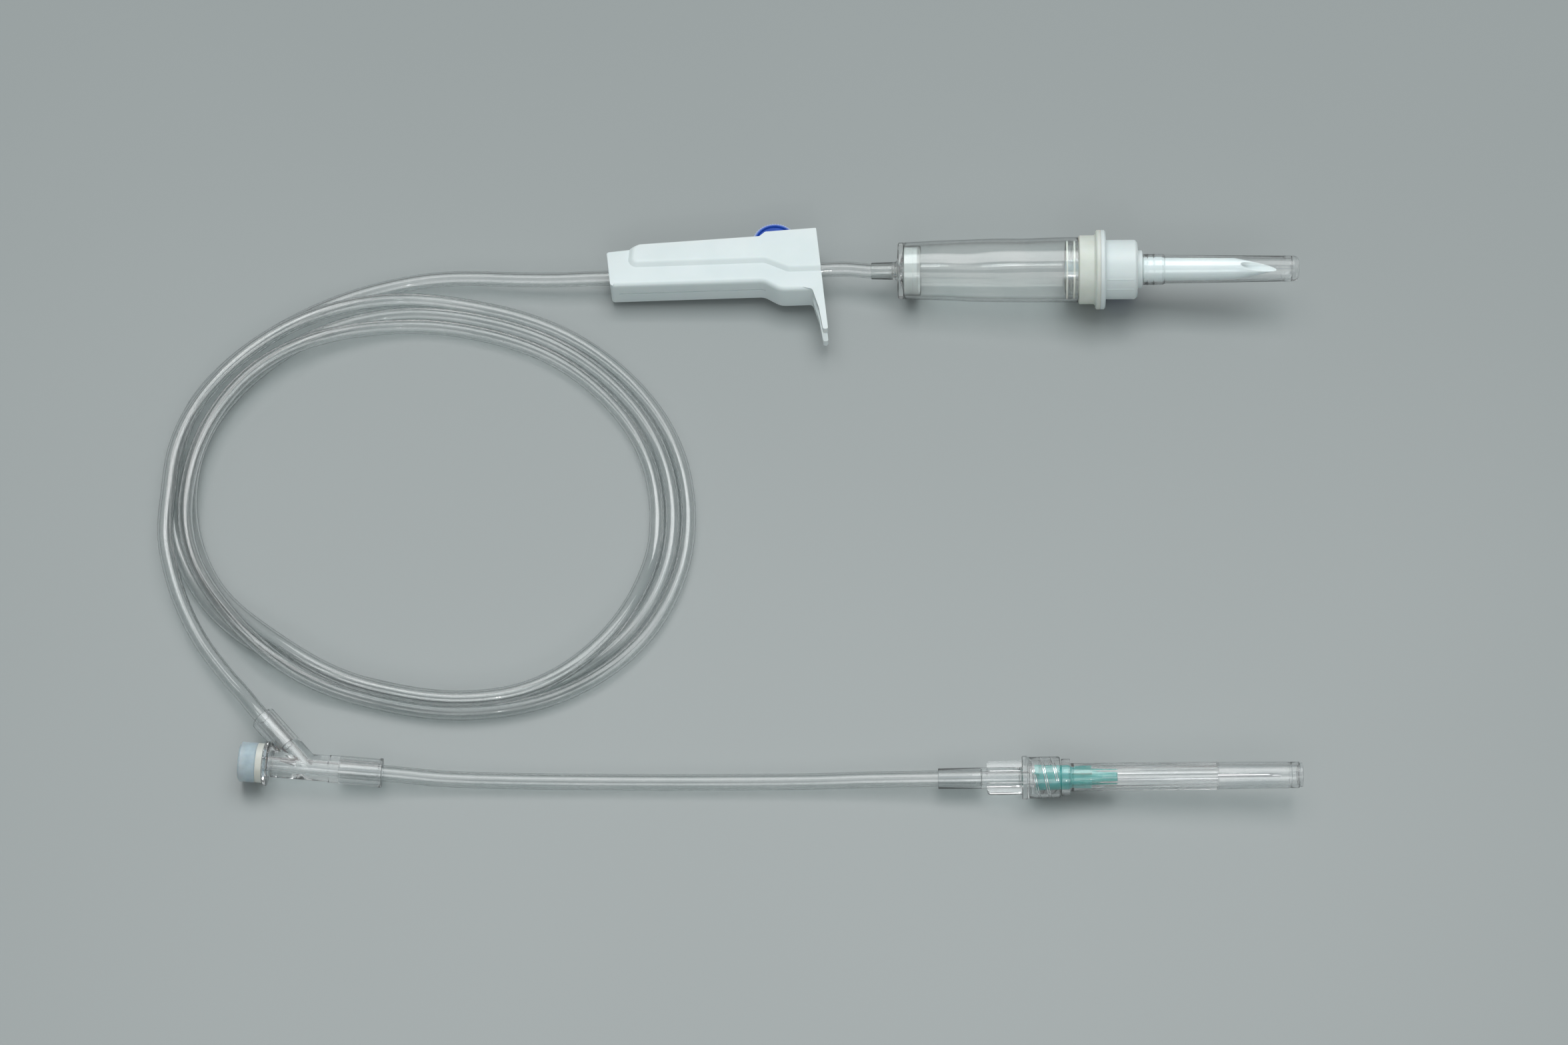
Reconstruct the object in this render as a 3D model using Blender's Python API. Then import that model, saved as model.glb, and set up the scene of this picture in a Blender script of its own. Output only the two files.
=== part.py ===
"""Infusion set: vented spike with its cap, drip chamber, roller clamp, coiled tubing,
Y injection site, and a luer-lock needle with its cap, laid flat as on a table.

Metres, Z up. The set lies on the plane Z = 0, with X along the spike and the needle.
Each hard group is modelled along its own local X axis, and an empty lays it down.
"""

import math

import bmesh
import bpy
from mathutils import Matrix, Vector

MM = 0.001

# Fits shared by every joint of the set
SEAT_GAP = 0.3 * MM
SLIP_GAP = 0.15 * MM
WELD_DISTANCE = 0.001 * MM
ROUND_STEPS = 28
SMALL_ROUND_STEPS = 24

# Tubing
TUBE_DIAMETER = 3.8 * MM
TUBE_SOCKET_GAP = 0.2 * MM
TUBE_SOCKET_WALL = 0.4 * MM
TUBE_SOCKET_DEPTH = 10.0 * MM
TUBE_POINT_SPACING = 8.0 * MM

# Coil: three turns side by side, and the crossings on a second layer
COIL_CENTRE = (-87.2 * MM, 4.0 * MM)
COIL_OUTER_RADIUS = 65.8 * MM
COIL_FLATTENING = 0.935
COIL_STRANDS_ACROSS = 3
COIL_LAYERS = 2
COIL_STEPS = 56

# Drip chamber
CHAMBER_LENGTH = 44.2 * MM
CHAMBER_OUTLET_DIAMETER = 14.5 * MM
CHAMBER_CAP_DIAMETER = 16.5 * MM
CHAMBER_WALL = 0.8 * MM
CHAMBER_WAIST = 0.25 * MM
CHAMBER_STATIONS = 6

# Chamber base with its outlet, and the fluid filter in it
BASE_RING_LENGTH = 1.5 * MM
BASE_SPIGOT_LENGTH = 4.3 * MM
BASE_SPIGOT_WALL = 0.5 * MM
BASE_FLOOR_SLOPE = 1.2 * MM
OUTLET_LENGTH = 6.8 * MM
OUTLET_SOCKET_DEPTH = 5.5 * MM
FLUID_BORE_DIAMETER = 2.3 * MM
FILTER_RIM_WIDTH = 0.9 * MM
FILTER_MESH_THICKNESS = 0.6 * MM
FILTER_LENGTH = 3.6 * MM

# Chamber cap and flange
CAP_RING_DIAMETER = 17.5 * MM
CAP_RING_LENGTH = 4.2 * MM
CAP_WALL = 1.5 * MM
CAP_SPIGOT_LENGTH = 3.5 * MM
CAP_SPIGOT_WALL = 0.7 * MM
FLANGE_DIAMETER = 20.2 * MM
FLANGE_HALF = 1.25 * MM
FLANGE_EDGE = 0.35 * MM

# Drip tip
TIP_SHANK_DIAMETER = 6.6 * MM
TIP_NOZZLE_DIAMETER = 4.8 * MM
TIP_COLLAR_DIAMETER = 9.0 * MM
TIP_COLLAR_LENGTH = 1.0 * MM
TIP_BORE_DIAMETER = 1.8 * MM
TIP_SEAT_DEPTH = 1.2 * MM

# Spike moulding
HUB_DIAMETER = 15.1 * MM
HUB_LENGTH = 8.1 * MM
HUB_EDGE = 0.6 * MM
HUB_FLAT_HALF_ANGLE = math.radians(11.0)
HUB_FLAT_ELEVATION = math.radians(22.6)
NECK_DIAMETER = 9.7 * MM
NECK_LENGTH = 1.3 * MM
COLLAR_DIAMETER = 6.4 * MM
COLLAR_LENGTH = 5.2 * MM
SPIKE_LENGTH = 29.1 * MM
SPIKE_ROOT_DIAMETER = 5.9 * MM
SPIKE_SHAFT_DIAMETER = 5.6 * MM
SPIKE_POINT_LENGTH = 11.0 * MM
SPIKE_POINT_DIAMETER = 1.0 * MM
SPIKE_BEVEL_ANGLE = math.radians(15.0)
SPIKE_FLUID_OFFSET = 0.9 * MM
AIR_BORE_DIAMETER = 1.1 * MM
AIR_BORE_OFFSET = 1.3 * MM

# Air vent under the hub
VENT_FLAT_DEPTH = 0.65 * MM
VENT_RECESS_DIAMETER = 4.8 * MM
VENT_RECESS_DEPTH = 1.8 * MM
VENT_FILTER_THICKNESS = 0.5 * MM
VENT_CAP_DIAMETER = 6.4 * MM
VENT_CAP_THICKNESS = 1.2 * MM
VENT_PLUG_HEIGHT = 0.6 * MM
VENT_STRAP_WIDTH = 2.4 * MM
VENT_STRAP_THICKNESS = 0.5 * MM
VENT_STRAP_LENGTH = 1.0 * MM

# Spike cap
SPIKE_CAP_WALL = 0.5 * MM
SPIKE_CAP_GAP = 0.2 * MM
SPIKE_CAP_SOCKET_LENGTH = 5.3 * MM
SPIKE_CAP_TIP_CLEARANCE = 4.8 * MM
SPIKE_CAP_END_DIAMETER = 6.5 * MM
SPIKE_CAP_BEAD = 0.2 * MM

# Where the chamber group lies; the needle's row lies the row distance nearer
ROW_DISTANCE = 143.65 * MM
CHAMBER_FLANGE_SPOT = (80.5 * MM, 69.9 * MM)
CHAMBER_HEADING = math.radians(-1.94)

# Roller clamp: side outline along and across the tube, in the clamp's own frame
CLAMP_SPOT = (-45.4 * MM, 70.62 * MM)
CLAMP_MOUTH_HEIGHT = 4.9 * MM
CLAMP_LENGTH = 54.0 * MM
CLAMP_MOUTH_TOP = 6.1 * MM
CLAMP_MOUTH_BACK = 4.7 * MM
CLAMP_SHOULDER = (8.6 * MM, 8.1 * MM)
CLAMP_STEP = (39.4 * MM, 9.5 * MM)
CLAMP_STEP_RISE = 1.3 * MM
CLAMP_END_TOP = 11.6 * MM
CLAMP_BACK_STEP = (39.4 * MM, 46.0 * MM)
CLAMP_BACK_CURVE = 4.5 * MM
CLAMP_END_BACK = 7.6 * MM
CLAMP_BACK_WALL = 2.4 * MM
CLAMP_SIDE_WALL = 1.2 * MM
CLAMP_CHANNEL_WIDTH = 5.0 * MM
CLAMP_EDGE = 0.35 * MM
PANEL_HEIGHT = 0.9 * MM
PANEL_START = 6.2 * MM
PANEL_LOWER_EDGE = 1.6 * MM
PANEL_STEP = 41.0 * MM
PANEL_STEP_RUN = 6.0 * MM
PANEL_CORNER_RADIUS = 1.5 * MM
PANEL_END_LOWER_EDGE = -1.4 * MM
BACK_GROOVE_WIDTH = 0.35 * MM
BACK_GROOVE_DEPTH = 0.3 * MM
END_PLATE_THICKNESS = 1.6 * MM
END_PLATE_LEAN = math.radians(3.0)
PRONG_LENGTH = 13.4 * MM
PRONG_ROOT_THICKNESS = 2.8 * MM
PRONG_GUSSET_LENGTH = 6.0 * MM
PRONG_BLADE_THICKNESS = 1.5 * MM
PRONG_TIP_THICKNESS = 1.1 * MM
PRONG_WIDTH = 1.95 * MM
PRONG_SLOT_WIDTH = 3.5 * MM

# Roller
ROLLER_DIAMETER = 11.4 * MM
ROLLER_SIDE_GAP = 0.3 * MM
ROLLER_TEETH = 24
ROLLER_TOOTH_DEPTH = 0.3 * MM
ROLLER_RIM = 1.0 * MM
ROLLER_RECESS = 0.5 * MM
ROLLER_PIN_DIAMETER = 2.2 * MM
TRACK_DEPTH = 0.9 * MM
TRACK_GAP = 0.15 * MM
PARKED_FROM_END = 10.8 * MM
PARKED_PLACE = (CLAMP_LENGTH - PARKED_FROM_END, 9.1 * MM)
PINCHED_PLACE = (10.5 * MM, 4.6 * MM)

# Y injection site
Y_FLANGE_SPOT = (-120.8 * MM, CHAMBER_FLANGE_SPOT[1] - ROW_DISTANCE + 3.7 * MM)
Y_HEADING = math.radians(-3.7)
Y_DROOP = math.radians(3.2)
Y_FLANGE_DIAMETER = 10.5 * MM
Y_FLANGE_THICKNESS = 0.84 * MM
Y_BODY_DIAMETER = 5.7 * MM
Y_BODY_LENGTH = 14.5 * MM
Y_SLEEVE_DIAMETER = 6.0 * MM
Y_SLEEVE_LENGTH = 12.6 * MM
Y_SLEEVE_RIM_DIAMETER = 6.4 * MM
Y_SLEEVE_RIM_LENGTH = 0.8 * MM
Y_NECK_DIAMETER = 6.6 * MM
Y_NECK_LENGTH = 4.4 * MM
Y_ARM_DIAMETER = 5.8 * MM
Y_ARM_LENGTH = 20.4 * MM
Y_ARM_ANGLE = math.radians(35.4)
Y_ARM_FOOT = 14.2 * MM
Y_WEB_THICKNESS = 1.2 * MM
Y_EJECTOR_DIAMETER = 1.8 * MM
Y_EJECTOR_HEIGHT = 0.25 * MM
PORT_CAP_DIAMETER = 9.3 * MM
PORT_CAP_LENGTH = 5.6 * MM
PORT_CAP_BAND = 1.6 * MM
PORT_CAP_EDGE = 0.4 * MM

# Luer-lock connector
LUER_FLANGE_SPOT = (56.0 * MM, CHAMBER_FLANGE_SPOT[1] - ROW_DISTANCE)
LUER_HEADING = math.radians(-0.9)
LUER_LIFT = math.radians(3.0)
LUER_FLANGE_DIAMETER = 10.2 * MM
LUER_FLANGE_THICKNESS = 1.26 * MM
LUER_COLLAR_DIAMETER = 9.7 * MM
LUER_COLLAR_LENGTH = 7.6 * MM
LUER_COLLAR_WALL = 0.85 * MM
LUER_BODY_DIAMETER = 5.0 * MM
LUER_BODY_LENGTH = 8.1 * MM
LUER_SOCKET_LENGTH = 11.35 * MM
LUER_CONE_TIP_DIAMETER = 3.9 * MM
LUER_CONE_TAPER = 0.06
LUER_CONE_REACH = 2.1 * MM
WING_SPAN = 8.3 * MM
WING_THICKNESS = 1.4 * MM
WING_CORNER = 1.0 * MM

# Needle
NEEDLE_HUB_DIAMETER = 5.9 * MM
NEEDLE_LUG_DIAMETER = 7.5 * MM
NEEDLE_LUG_LENGTH = 1.0 * MM
NEEDLE_HUB_START = 2.2 * MM
NEEDLE_FIN_COUNT = 6
NEEDLE_FIN_DIAMETER = 5.0 * MM
NEEDLE_FIN_LENGTH = 5.0 * MM
NEEDLE_FIN_THICKNESS = 0.6 * MM
NEEDLE_CORE_DIAMETER = 3.6 * MM
NEEDLE_NOSE_LENGTH = 6.0 * MM
NEEDLE_NOSE_DIAMETER = 3.0 * MM
CANNULA_DIAMETER = 0.82 * MM
CANNULA_BORE_DIAMETER = 0.5 * MM
CANNULA_EXPOSED = 38.0 * MM
CANNULA_SEATED = 7.0 * MM
CANNULA_BEVEL_ANGLE = math.radians(15.0)
CANNULA_STEPS = 12

# Needle cap
NEEDLE_CAP_RING_DIAMETER = 8.6 * MM
NEEDLE_CAP_RING_LENGTH = 2.0 * MM
NEEDLE_CAP_RIBBED_DIAMETER = 6.6 * MM
NEEDLE_CAP_RIB_HEIGHT = 0.2 * MM
NEEDLE_CAP_RIBBED_LENGTH = 34.0 * MM
NEEDLE_CAP_END_DIAMETER = 6.1 * MM
NEEDLE_CAP_WALL = 0.55 * MM
NEEDLE_CAP_TIP_CLEARANCE = 5.0 * MM
NEEDLE_CAP_STEPS = 40

# Free stretches of the tubing, in the frame of the spots above, Z from the table.
# The first and last points of each stretch come from the sockets that hold it, and
# the tube leaves each socket, and the clamp's mouth, straight.
SOCKET_STRAIGHT = 3.0 * MM
CLAMP_STRAIGHT = 7.0 * MM
SOCKET_MIDDLE = 5.0 * MM
COIL_LEAD_IN = [
    (-70.0, 70.9, 4.1),
    (-81.4, 71.5, 3.6),
    (-90.5, 70.9, 3.1),
    (-99.0, 69.1, 2.7),
    (-108.5, 66.3, 2.4),
    (-117.5, 62.2, 2.2),
    (-126.3, 56.5, 2.1),
]
COIL_LEAD_OUT = [
    (-139.9, -36.4, 3.2),
    (-137.9, -40.0, 3.7),
    (-134.9, -44.1, 4.2),
    (-130.0, -50.0, 4.7),
]
LOWER_RUN = [
    (-80.0, -72.6, 2.5),
    (-62.0, -73.0, 2.05),
    (-27.4, -73.3, 2.0),
    (5.0, -73.3, 2.4),
    (20.0, -73.2, 3.1),
]

# Values that follow from the dimensions
TUBE_RADIUS = TUBE_DIAMETER / 2
TUBE_SOCKET_RADIUS = TUBE_RADIUS + TUBE_SOCKET_GAP
OUTLET_RADIUS = TUBE_SOCKET_RADIUS + TUBE_SOCKET_WALL
LUER_SOCKET_RADIUS = TUBE_SOCKET_RADIUS + TUBE_SOCKET_WALL
COIL_WIDTH = COIL_STRANDS_ACROSS * TUBE_DIAMETER + 0.2 * MM
COIL_HEIGHT = COIL_LAYERS * TUBE_DIAMETER
FLUID_BORE_RADIUS = FLUID_BORE_DIAMETER / 2

CAP_RING_END = -FLANGE_HALF - CAP_RING_LENGTH
CHAMBER_CAP_END = CAP_RING_END - SLIP_GAP
CHAMBER_OUTLET_END = CHAMBER_CAP_END - CHAMBER_LENGTH
BASE_RING_FRONT = CHAMBER_OUTLET_END - SLIP_GAP
BASE_RING_BACK = BASE_RING_FRONT - BASE_RING_LENGTH
OUTLET_MOUTH = BASE_RING_BACK - OUTLET_LENGTH
OUTLET_SEAT = OUTLET_MOUTH + OUTLET_SOCKET_DEPTH

HUB_START = FLANGE_HALF
HUB_END = HUB_START + HUB_LENGTH
NECK_END = HUB_END + NECK_LENGTH
COLLAR_END = NECK_END + COLLAR_LENGTH
SPIKE_TIP = COLLAR_END + SPIKE_LENGTH
SPIKE_CAP_START = NECK_END + SEAT_GAP
SPIKE_CAP_SHOULDER = SPIKE_CAP_START + SPIKE_CAP_SOCKET_LENGTH
SPIKE_CAP_END = SPIKE_TIP + SPIKE_CAP_TIP_CLEARANCE + SPIKE_CAP_WALL
VENT_X = (HUB_START + HUB_END) / 2 - 0.25 * MM
VENT_FACE = HUB_DIAMETER / 2 - VENT_FLAT_DEPTH

CHAMBER_LIFT = math.asin((FLANGE_DIAMETER - CHAMBER_OUTLET_DIAMETER) / 2 / -BASE_RING_BACK)
CHAMBER_HEIGHT = FLANGE_DIAMETER / 2 * math.cos(CHAMBER_LIFT) + FLANGE_HALF * math.sin(CHAMBER_LIFT)

CLAMP_HALF_WIDTH = CLAMP_CHANNEL_WIDTH / 2 + CLAMP_SIDE_WALL
CLAMP_FLOOR = CLAMP_MOUTH_BACK - CLAMP_BACK_WALL
CLAMP_END_FLOOR = CLAMP_END_BACK - CLAMP_BACK_WALL
ROLLER_RADIUS = ROLLER_DIAMETER / 2

Y_HEIGHT = Y_FLANGE_DIAMETER / 2 * math.cos(Y_DROOP) + Y_FLANGE_THICKNESS / 2 * math.sin(Y_DROOP)
Y_SLEEVE_START = Y_BODY_LENGTH
Y_SLEEVE_END = Y_SLEEVE_START + Y_SLEEVE_LENGTH
LUER_HEIGHT = LUER_FLANGE_DIAMETER / 2 * math.cos(LUER_LIFT) + LUER_FLANGE_THICKNESS / 2 * math.sin(LUER_LIFT)
LUER_COLLAR_END = LUER_FLANGE_THICKNESS / 2 + LUER_COLLAR_LENGTH
LUER_SOCKET_SEAT = -LUER_FLANGE_THICKNESS / 2 - LUER_BODY_LENGTH - 1.2 * MM
LUER_SOCKET_MOUTH = -LUER_FLANGE_THICKNESS / 2 - LUER_BODY_LENGTH - LUER_SOCKET_LENGTH
LUER_CONE_END = LUER_COLLAR_END + LUER_CONE_REACH

NEEDLE_CAP_START = LUER_COLLAR_END + SEAT_GAP
NEEDLE_FIN_START = NEEDLE_CAP_START + NEEDLE_CAP_RING_LENGTH
NEEDLE_FIN_END = NEEDLE_FIN_START + NEEDLE_FIN_LENGTH
NEEDLE_HUB_END = NEEDLE_FIN_END + NEEDLE_NOSE_LENGTH
NEEDLE_TIP = NEEDLE_HUB_END + CANNULA_EXPOSED
NEEDLE_CAP_RIBBED_END = NEEDLE_FIN_START + NEEDLE_CAP_RIBBED_LENGTH
NEEDLE_CAP_END = NEEDLE_TIP + NEEDLE_CAP_TIP_CLEARANCE + NEEDLE_CAP_WALL


def clear_scene():
    for old in list(bpy.data.objects):
        bpy.data.objects.remove(old, do_unlink=True)


def make_material(name, colour, roughness, metallic=0.0, alpha=1.0):
    material = bpy.data.materials.new(name)
    material.use_nodes = True
    shader = material.node_tree.nodes["Principled BSDF"]
    shader.inputs["Base Color"].default_value = (*colour, 1.0)
    shader.inputs["Roughness"].default_value = roughness
    shader.inputs["Metallic"].default_value = metallic
    shader.inputs["Alpha"].default_value = alpha
    material.diffuse_color = (*colour, alpha)
    return material


def add_frame(name, spot, height, heading, lift, parent):
    """Place an empty whose local X points along the heading, raised by the lift angle."""
    frame = bpy.data.objects.new(name, None)
    frame.location = (spot[0], spot[1], height)
    frame.rotation_euler = (0.0, -lift, heading)
    frame.parent = parent
    bpy.context.scene.collection.objects.link(frame)
    return frame


def finish_mesh(name, bm, material, parent, location=(0.0, 0.0, 0.0)):
    bmesh.ops.remove_doubles(bm, verts=bm.verts, dist=WELD_DISTANCE)
    bmesh.ops.recalc_face_normals(bm, faces=bm.faces)
    mesh = bpy.data.meshes.new(name)
    bm.to_mesh(mesh)
    bm.free()
    mesh.shade_smooth()
    mesh.set_sharp_from_angle(angle=math.radians(35.0))
    piece = bpy.data.objects.new(name, mesh)
    piece.location = location
    piece.parent = parent
    if material is not None:
        mesh.materials.append(material)
    bpy.context.scene.collection.objects.link(piece)
    return piece


def spin_profile(profile, steps, is_ring):
    """Spin (x, radius) points about the X axis; a ring profile closes on itself."""
    bm = bmesh.new()
    verts = [bm.verts.new((x, 0.0, radius)) for x, radius in profile]
    edges = [bm.edges.new(pair) for pair in zip(verts, verts[1:])]
    if is_ring:
        edges.append(bm.edges.new((verts[-1], verts[0])))
    bmesh.ops.spin(bm, geom=verts + edges, axis=(1, 0, 0), cent=(0, 0, 0),
                   angle=math.tau, steps=steps, use_merge=True)
    bmesh.ops.remove_doubles(bm, verts=bm.verts, dist=WELD_DISTANCE)
    return bm


def turned(name, profile, material, parent, steps=ROUND_STEPS, is_ring=True):
    return finish_mesh(name, spin_profile(profile, steps, is_ring), material, parent)


def rounded_outline(corners, steps=4):
    """Turn (x, y, radius) corners into outline points, each corner an arc."""
    points = []
    for index, (x, y, radius) in enumerate(corners):
        corner = Vector((x, y))
        if radius == 0:
            points.append(corner)
            continue
        to_before = (Vector(corners[index - 1][:2]) - corner).normalized()
        to_after = (Vector(corners[(index + 1) % len(corners)][:2]) - corner).normalized()
        half_angle = to_before.angle(to_after) / 2
        centre = corner + (to_before + to_after).normalized() * radius / math.sin(half_angle)
        start = corner + to_before * radius / math.tan(half_angle) - centre
        end = corner + to_after * radius / math.tan(half_angle) - centre
        turn = math.atan2(start.cross(end), start.dot(end))
        for step in range(steps + 1):
            points.append(centre + Matrix.Rotation(turn * step / steps, 2) @ start)
    return points


def extruded(name, outline, low, high, material, parent, edge=0.0):
    """Raise an XY outline from one Z to another, with an optional bevel on its rims."""
    bm = bmesh.new()
    base = bm.faces.new([bm.verts.new((point[0], point[1], low)) for point in outline])
    raised = bmesh.ops.extrude_face_region(bm, geom=[base])
    top = [item for item in raised["geom"] if isinstance(item, bmesh.types.BMVert)]
    bmesh.ops.translate(bm, verts=top, vec=(0.0, 0.0, high - low))
    if edge > 0:
        rims = [item for item in bm.edges if abs(item.verts[0].co.z - item.verts[1].co.z) < WELD_DISTANCE]
        bmesh.ops.bevel(bm, geom=rims, offset=edge, segments=2, profile=0.5, affect="EDGES")
    return finish_mesh(name, bm, material, parent)


def rod(name, start, end, radius, parent, steps=SMALL_ROUND_STEPS):
    """A plain cylinder between two points, used to cut bores."""
    start = Vector(start)
    end = Vector(end)
    direction = end - start
    bm = bmesh.new()
    turn = direction.to_track_quat("Z", "Y").to_matrix().to_4x4()
    bmesh.ops.create_cone(bm, cap_ends=True, segments=steps, radius1=radius, radius2=radius,
                          depth=direction.length,
                          matrix=Matrix.Translation((start + end) / 2) @ turn)
    return finish_mesh(name, bm, None, parent)


def block(name, centre, size, parent, turn=Matrix.Identity(4)):
    bm = bmesh.new()
    matrix = Matrix.Translation(centre) @ turn @ Matrix.Diagonal((*size, 1.0))
    bmesh.ops.create_cube(bm, size=1.0, matrix=matrix)
    return finish_mesh(name, bm, None, parent)


def combine(piece, tool, operation):
    """Join a tool solid to a piece, or cut it away; the tool stays as a guide."""
    boolean = piece.modifiers.new(tool.name, "BOOLEAN")
    boolean.operation = operation
    boolean.solver = "EXACT"
    boolean.object = tool
    tool.hide_render = True
    tool.display_type = "WIRE"


def chamber_radius(x):
    """Outer radius of the soft chamber, slightly waisted between its two ends."""
    share = (x - CHAMBER_OUTLET_END) / CHAMBER_LENGTH
    straight = CHAMBER_OUTLET_DIAMETER + (CHAMBER_CAP_DIAMETER - CHAMBER_OUTLET_DIAMETER) * share
    return straight / 2 - CHAMBER_WAIST * math.sin(math.pi * share)


def build_chamber(material, parent):
    stations = [CHAMBER_OUTLET_END + CHAMBER_LENGTH * step / CHAMBER_STATIONS
                for step in range(CHAMBER_STATIONS + 1)]
    outer = [(x, chamber_radius(x)) for x in stations]
    inner = [(x, radius - CHAMBER_WALL) for x, radius in reversed(outer)]
    return turned("drip_chamber", outer + inner, material, parent)


def build_chamber_base(material, parent):
    """Clear end cup: the outlet socket on its back, and a spigot inside the chamber."""
    spigot = CHAMBER_OUTLET_DIAMETER / 2 - CHAMBER_WALL - SLIP_GAP
    cup = spigot - BASE_SPIGOT_WALL
    ring = CHAMBER_OUTLET_DIAMETER / 2
    spigot_end = BASE_RING_FRONT + BASE_SPIGOT_LENGTH
    cup_floor = BASE_RING_FRONT + SLIP_GAP
    profile = [
        (OUTLET_MOUTH, TUBE_SOCKET_RADIUS),
        (OUTLET_MOUTH, OUTLET_RADIUS),
        (BASE_RING_BACK - 0.6 * MM, OUTLET_RADIUS + 0.1 * MM),
        (BASE_RING_BACK, OUTLET_RADIUS + 0.7 * MM),
        (BASE_RING_BACK, ring - 0.3 * MM),
        (BASE_RING_BACK + 0.3 * MM, ring),
        (BASE_RING_FRONT, ring),
        (BASE_RING_FRONT, spigot),
        (spigot_end - 0.2 * MM, spigot),
        (spigot_end, spigot - 0.2 * MM),
        (spigot_end, cup),
        (cup_floor, cup),
        (cup_floor - BASE_FLOOR_SLOPE, FLUID_BORE_RADIUS),
        (OUTLET_SEAT, FLUID_BORE_RADIUS),
        (OUTLET_SEAT, TUBE_SOCKET_RADIUS),
    ]
    return turned("chamber_base", profile, material, parent)


def build_fluid_filter(material, parent):
    """White filter cup: a rim with the filter mesh across its outlet side."""
    radius = CHAMBER_OUTLET_DIAMETER / 2 - CHAMBER_WALL - SLIP_GAP - BASE_SPIGOT_WALL - SEAT_GAP
    back = BASE_RING_FRONT + SLIP_GAP + SEAT_GAP
    front = back + FILTER_LENGTH
    profile = [
        (back, 0.0),
        (back, radius - 0.2 * MM),
        (back + 0.2 * MM, radius),
        (front, radius),
        (front, radius - FILTER_RIM_WIDTH),
        (back + FILTER_MESH_THICKNESS, radius - FILTER_RIM_WIDTH),
        (back + FILTER_MESH_THICKNESS, 0.0),
    ]
    return turned("fluid_filter", profile, material, parent, is_ring=False)


def build_chamber_cap(material, parent):
    """Cream cap: half of the flange, a ring, and a spigot inside the chamber."""
    spigot = CHAMBER_CAP_DIAMETER / 2 - CHAMBER_WALL - SLIP_GAP
    spigot_end = CAP_RING_END - CAP_SPIGOT_LENGTH
    ring = CAP_RING_DIAMETER / 2
    flange = FLANGE_DIAMETER / 2
    hole = TIP_SHANK_DIAMETER / 2 + SEAT_GAP
    face = -SLIP_GAP / 2
    profile = [
        (spigot_end, spigot - CAP_SPIGOT_WALL),
        (spigot_end, spigot - 0.2 * MM),
        (spigot_end + 0.3 * MM, spigot),
        (CAP_RING_END, spigot),
        (CAP_RING_END, ring - 0.3 * MM),
        (CAP_RING_END + 0.3 * MM, ring),
        (-FLANGE_HALF - 0.4 * MM, ring),
        (-FLANGE_HALF, ring + 0.4 * MM),
        (-FLANGE_HALF, flange - FLANGE_EDGE),
        (-FLANGE_HALF + FLANGE_EDGE, flange),
        (face, flange),
        (face, hole),
        (-CAP_WALL, hole),
        (-CAP_WALL, spigot - CAP_SPIGOT_WALL),
    ]
    return turned("chamber_cap", profile, material, parent)


def build_drip_tip(material, parent):
    """Drop-forming nozzle, held between the cap's end wall and the spike moulding."""
    shank = TIP_SHANK_DIAMETER / 2
    nozzle = TIP_NOZZLE_DIAMETER / 2
    bore = TIP_BORE_DIAMETER / 2
    back = CAP_RING_END - CAP_SPIGOT_LENGTH
    collar_front = -CAP_WALL - SEAT_GAP
    seat = TIP_SEAT_DEPTH - SEAT_GAP
    profile = [
        (back, nozzle - 0.5 * MM),
        (back, nozzle),
        (collar_front - TIP_COLLAR_LENGTH, shank - 0.3 * MM),
        (collar_front - TIP_COLLAR_LENGTH, TIP_COLLAR_DIAMETER / 2),
        (collar_front, TIP_COLLAR_DIAMETER / 2),
        (collar_front, shank),
        (seat, shank),
        (seat, bore),
        (back + 1.0 * MM, bore),
    ]
    return turned("drip_tip", profile, material, parent, steps=SMALL_ROUND_STEPS)


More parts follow.
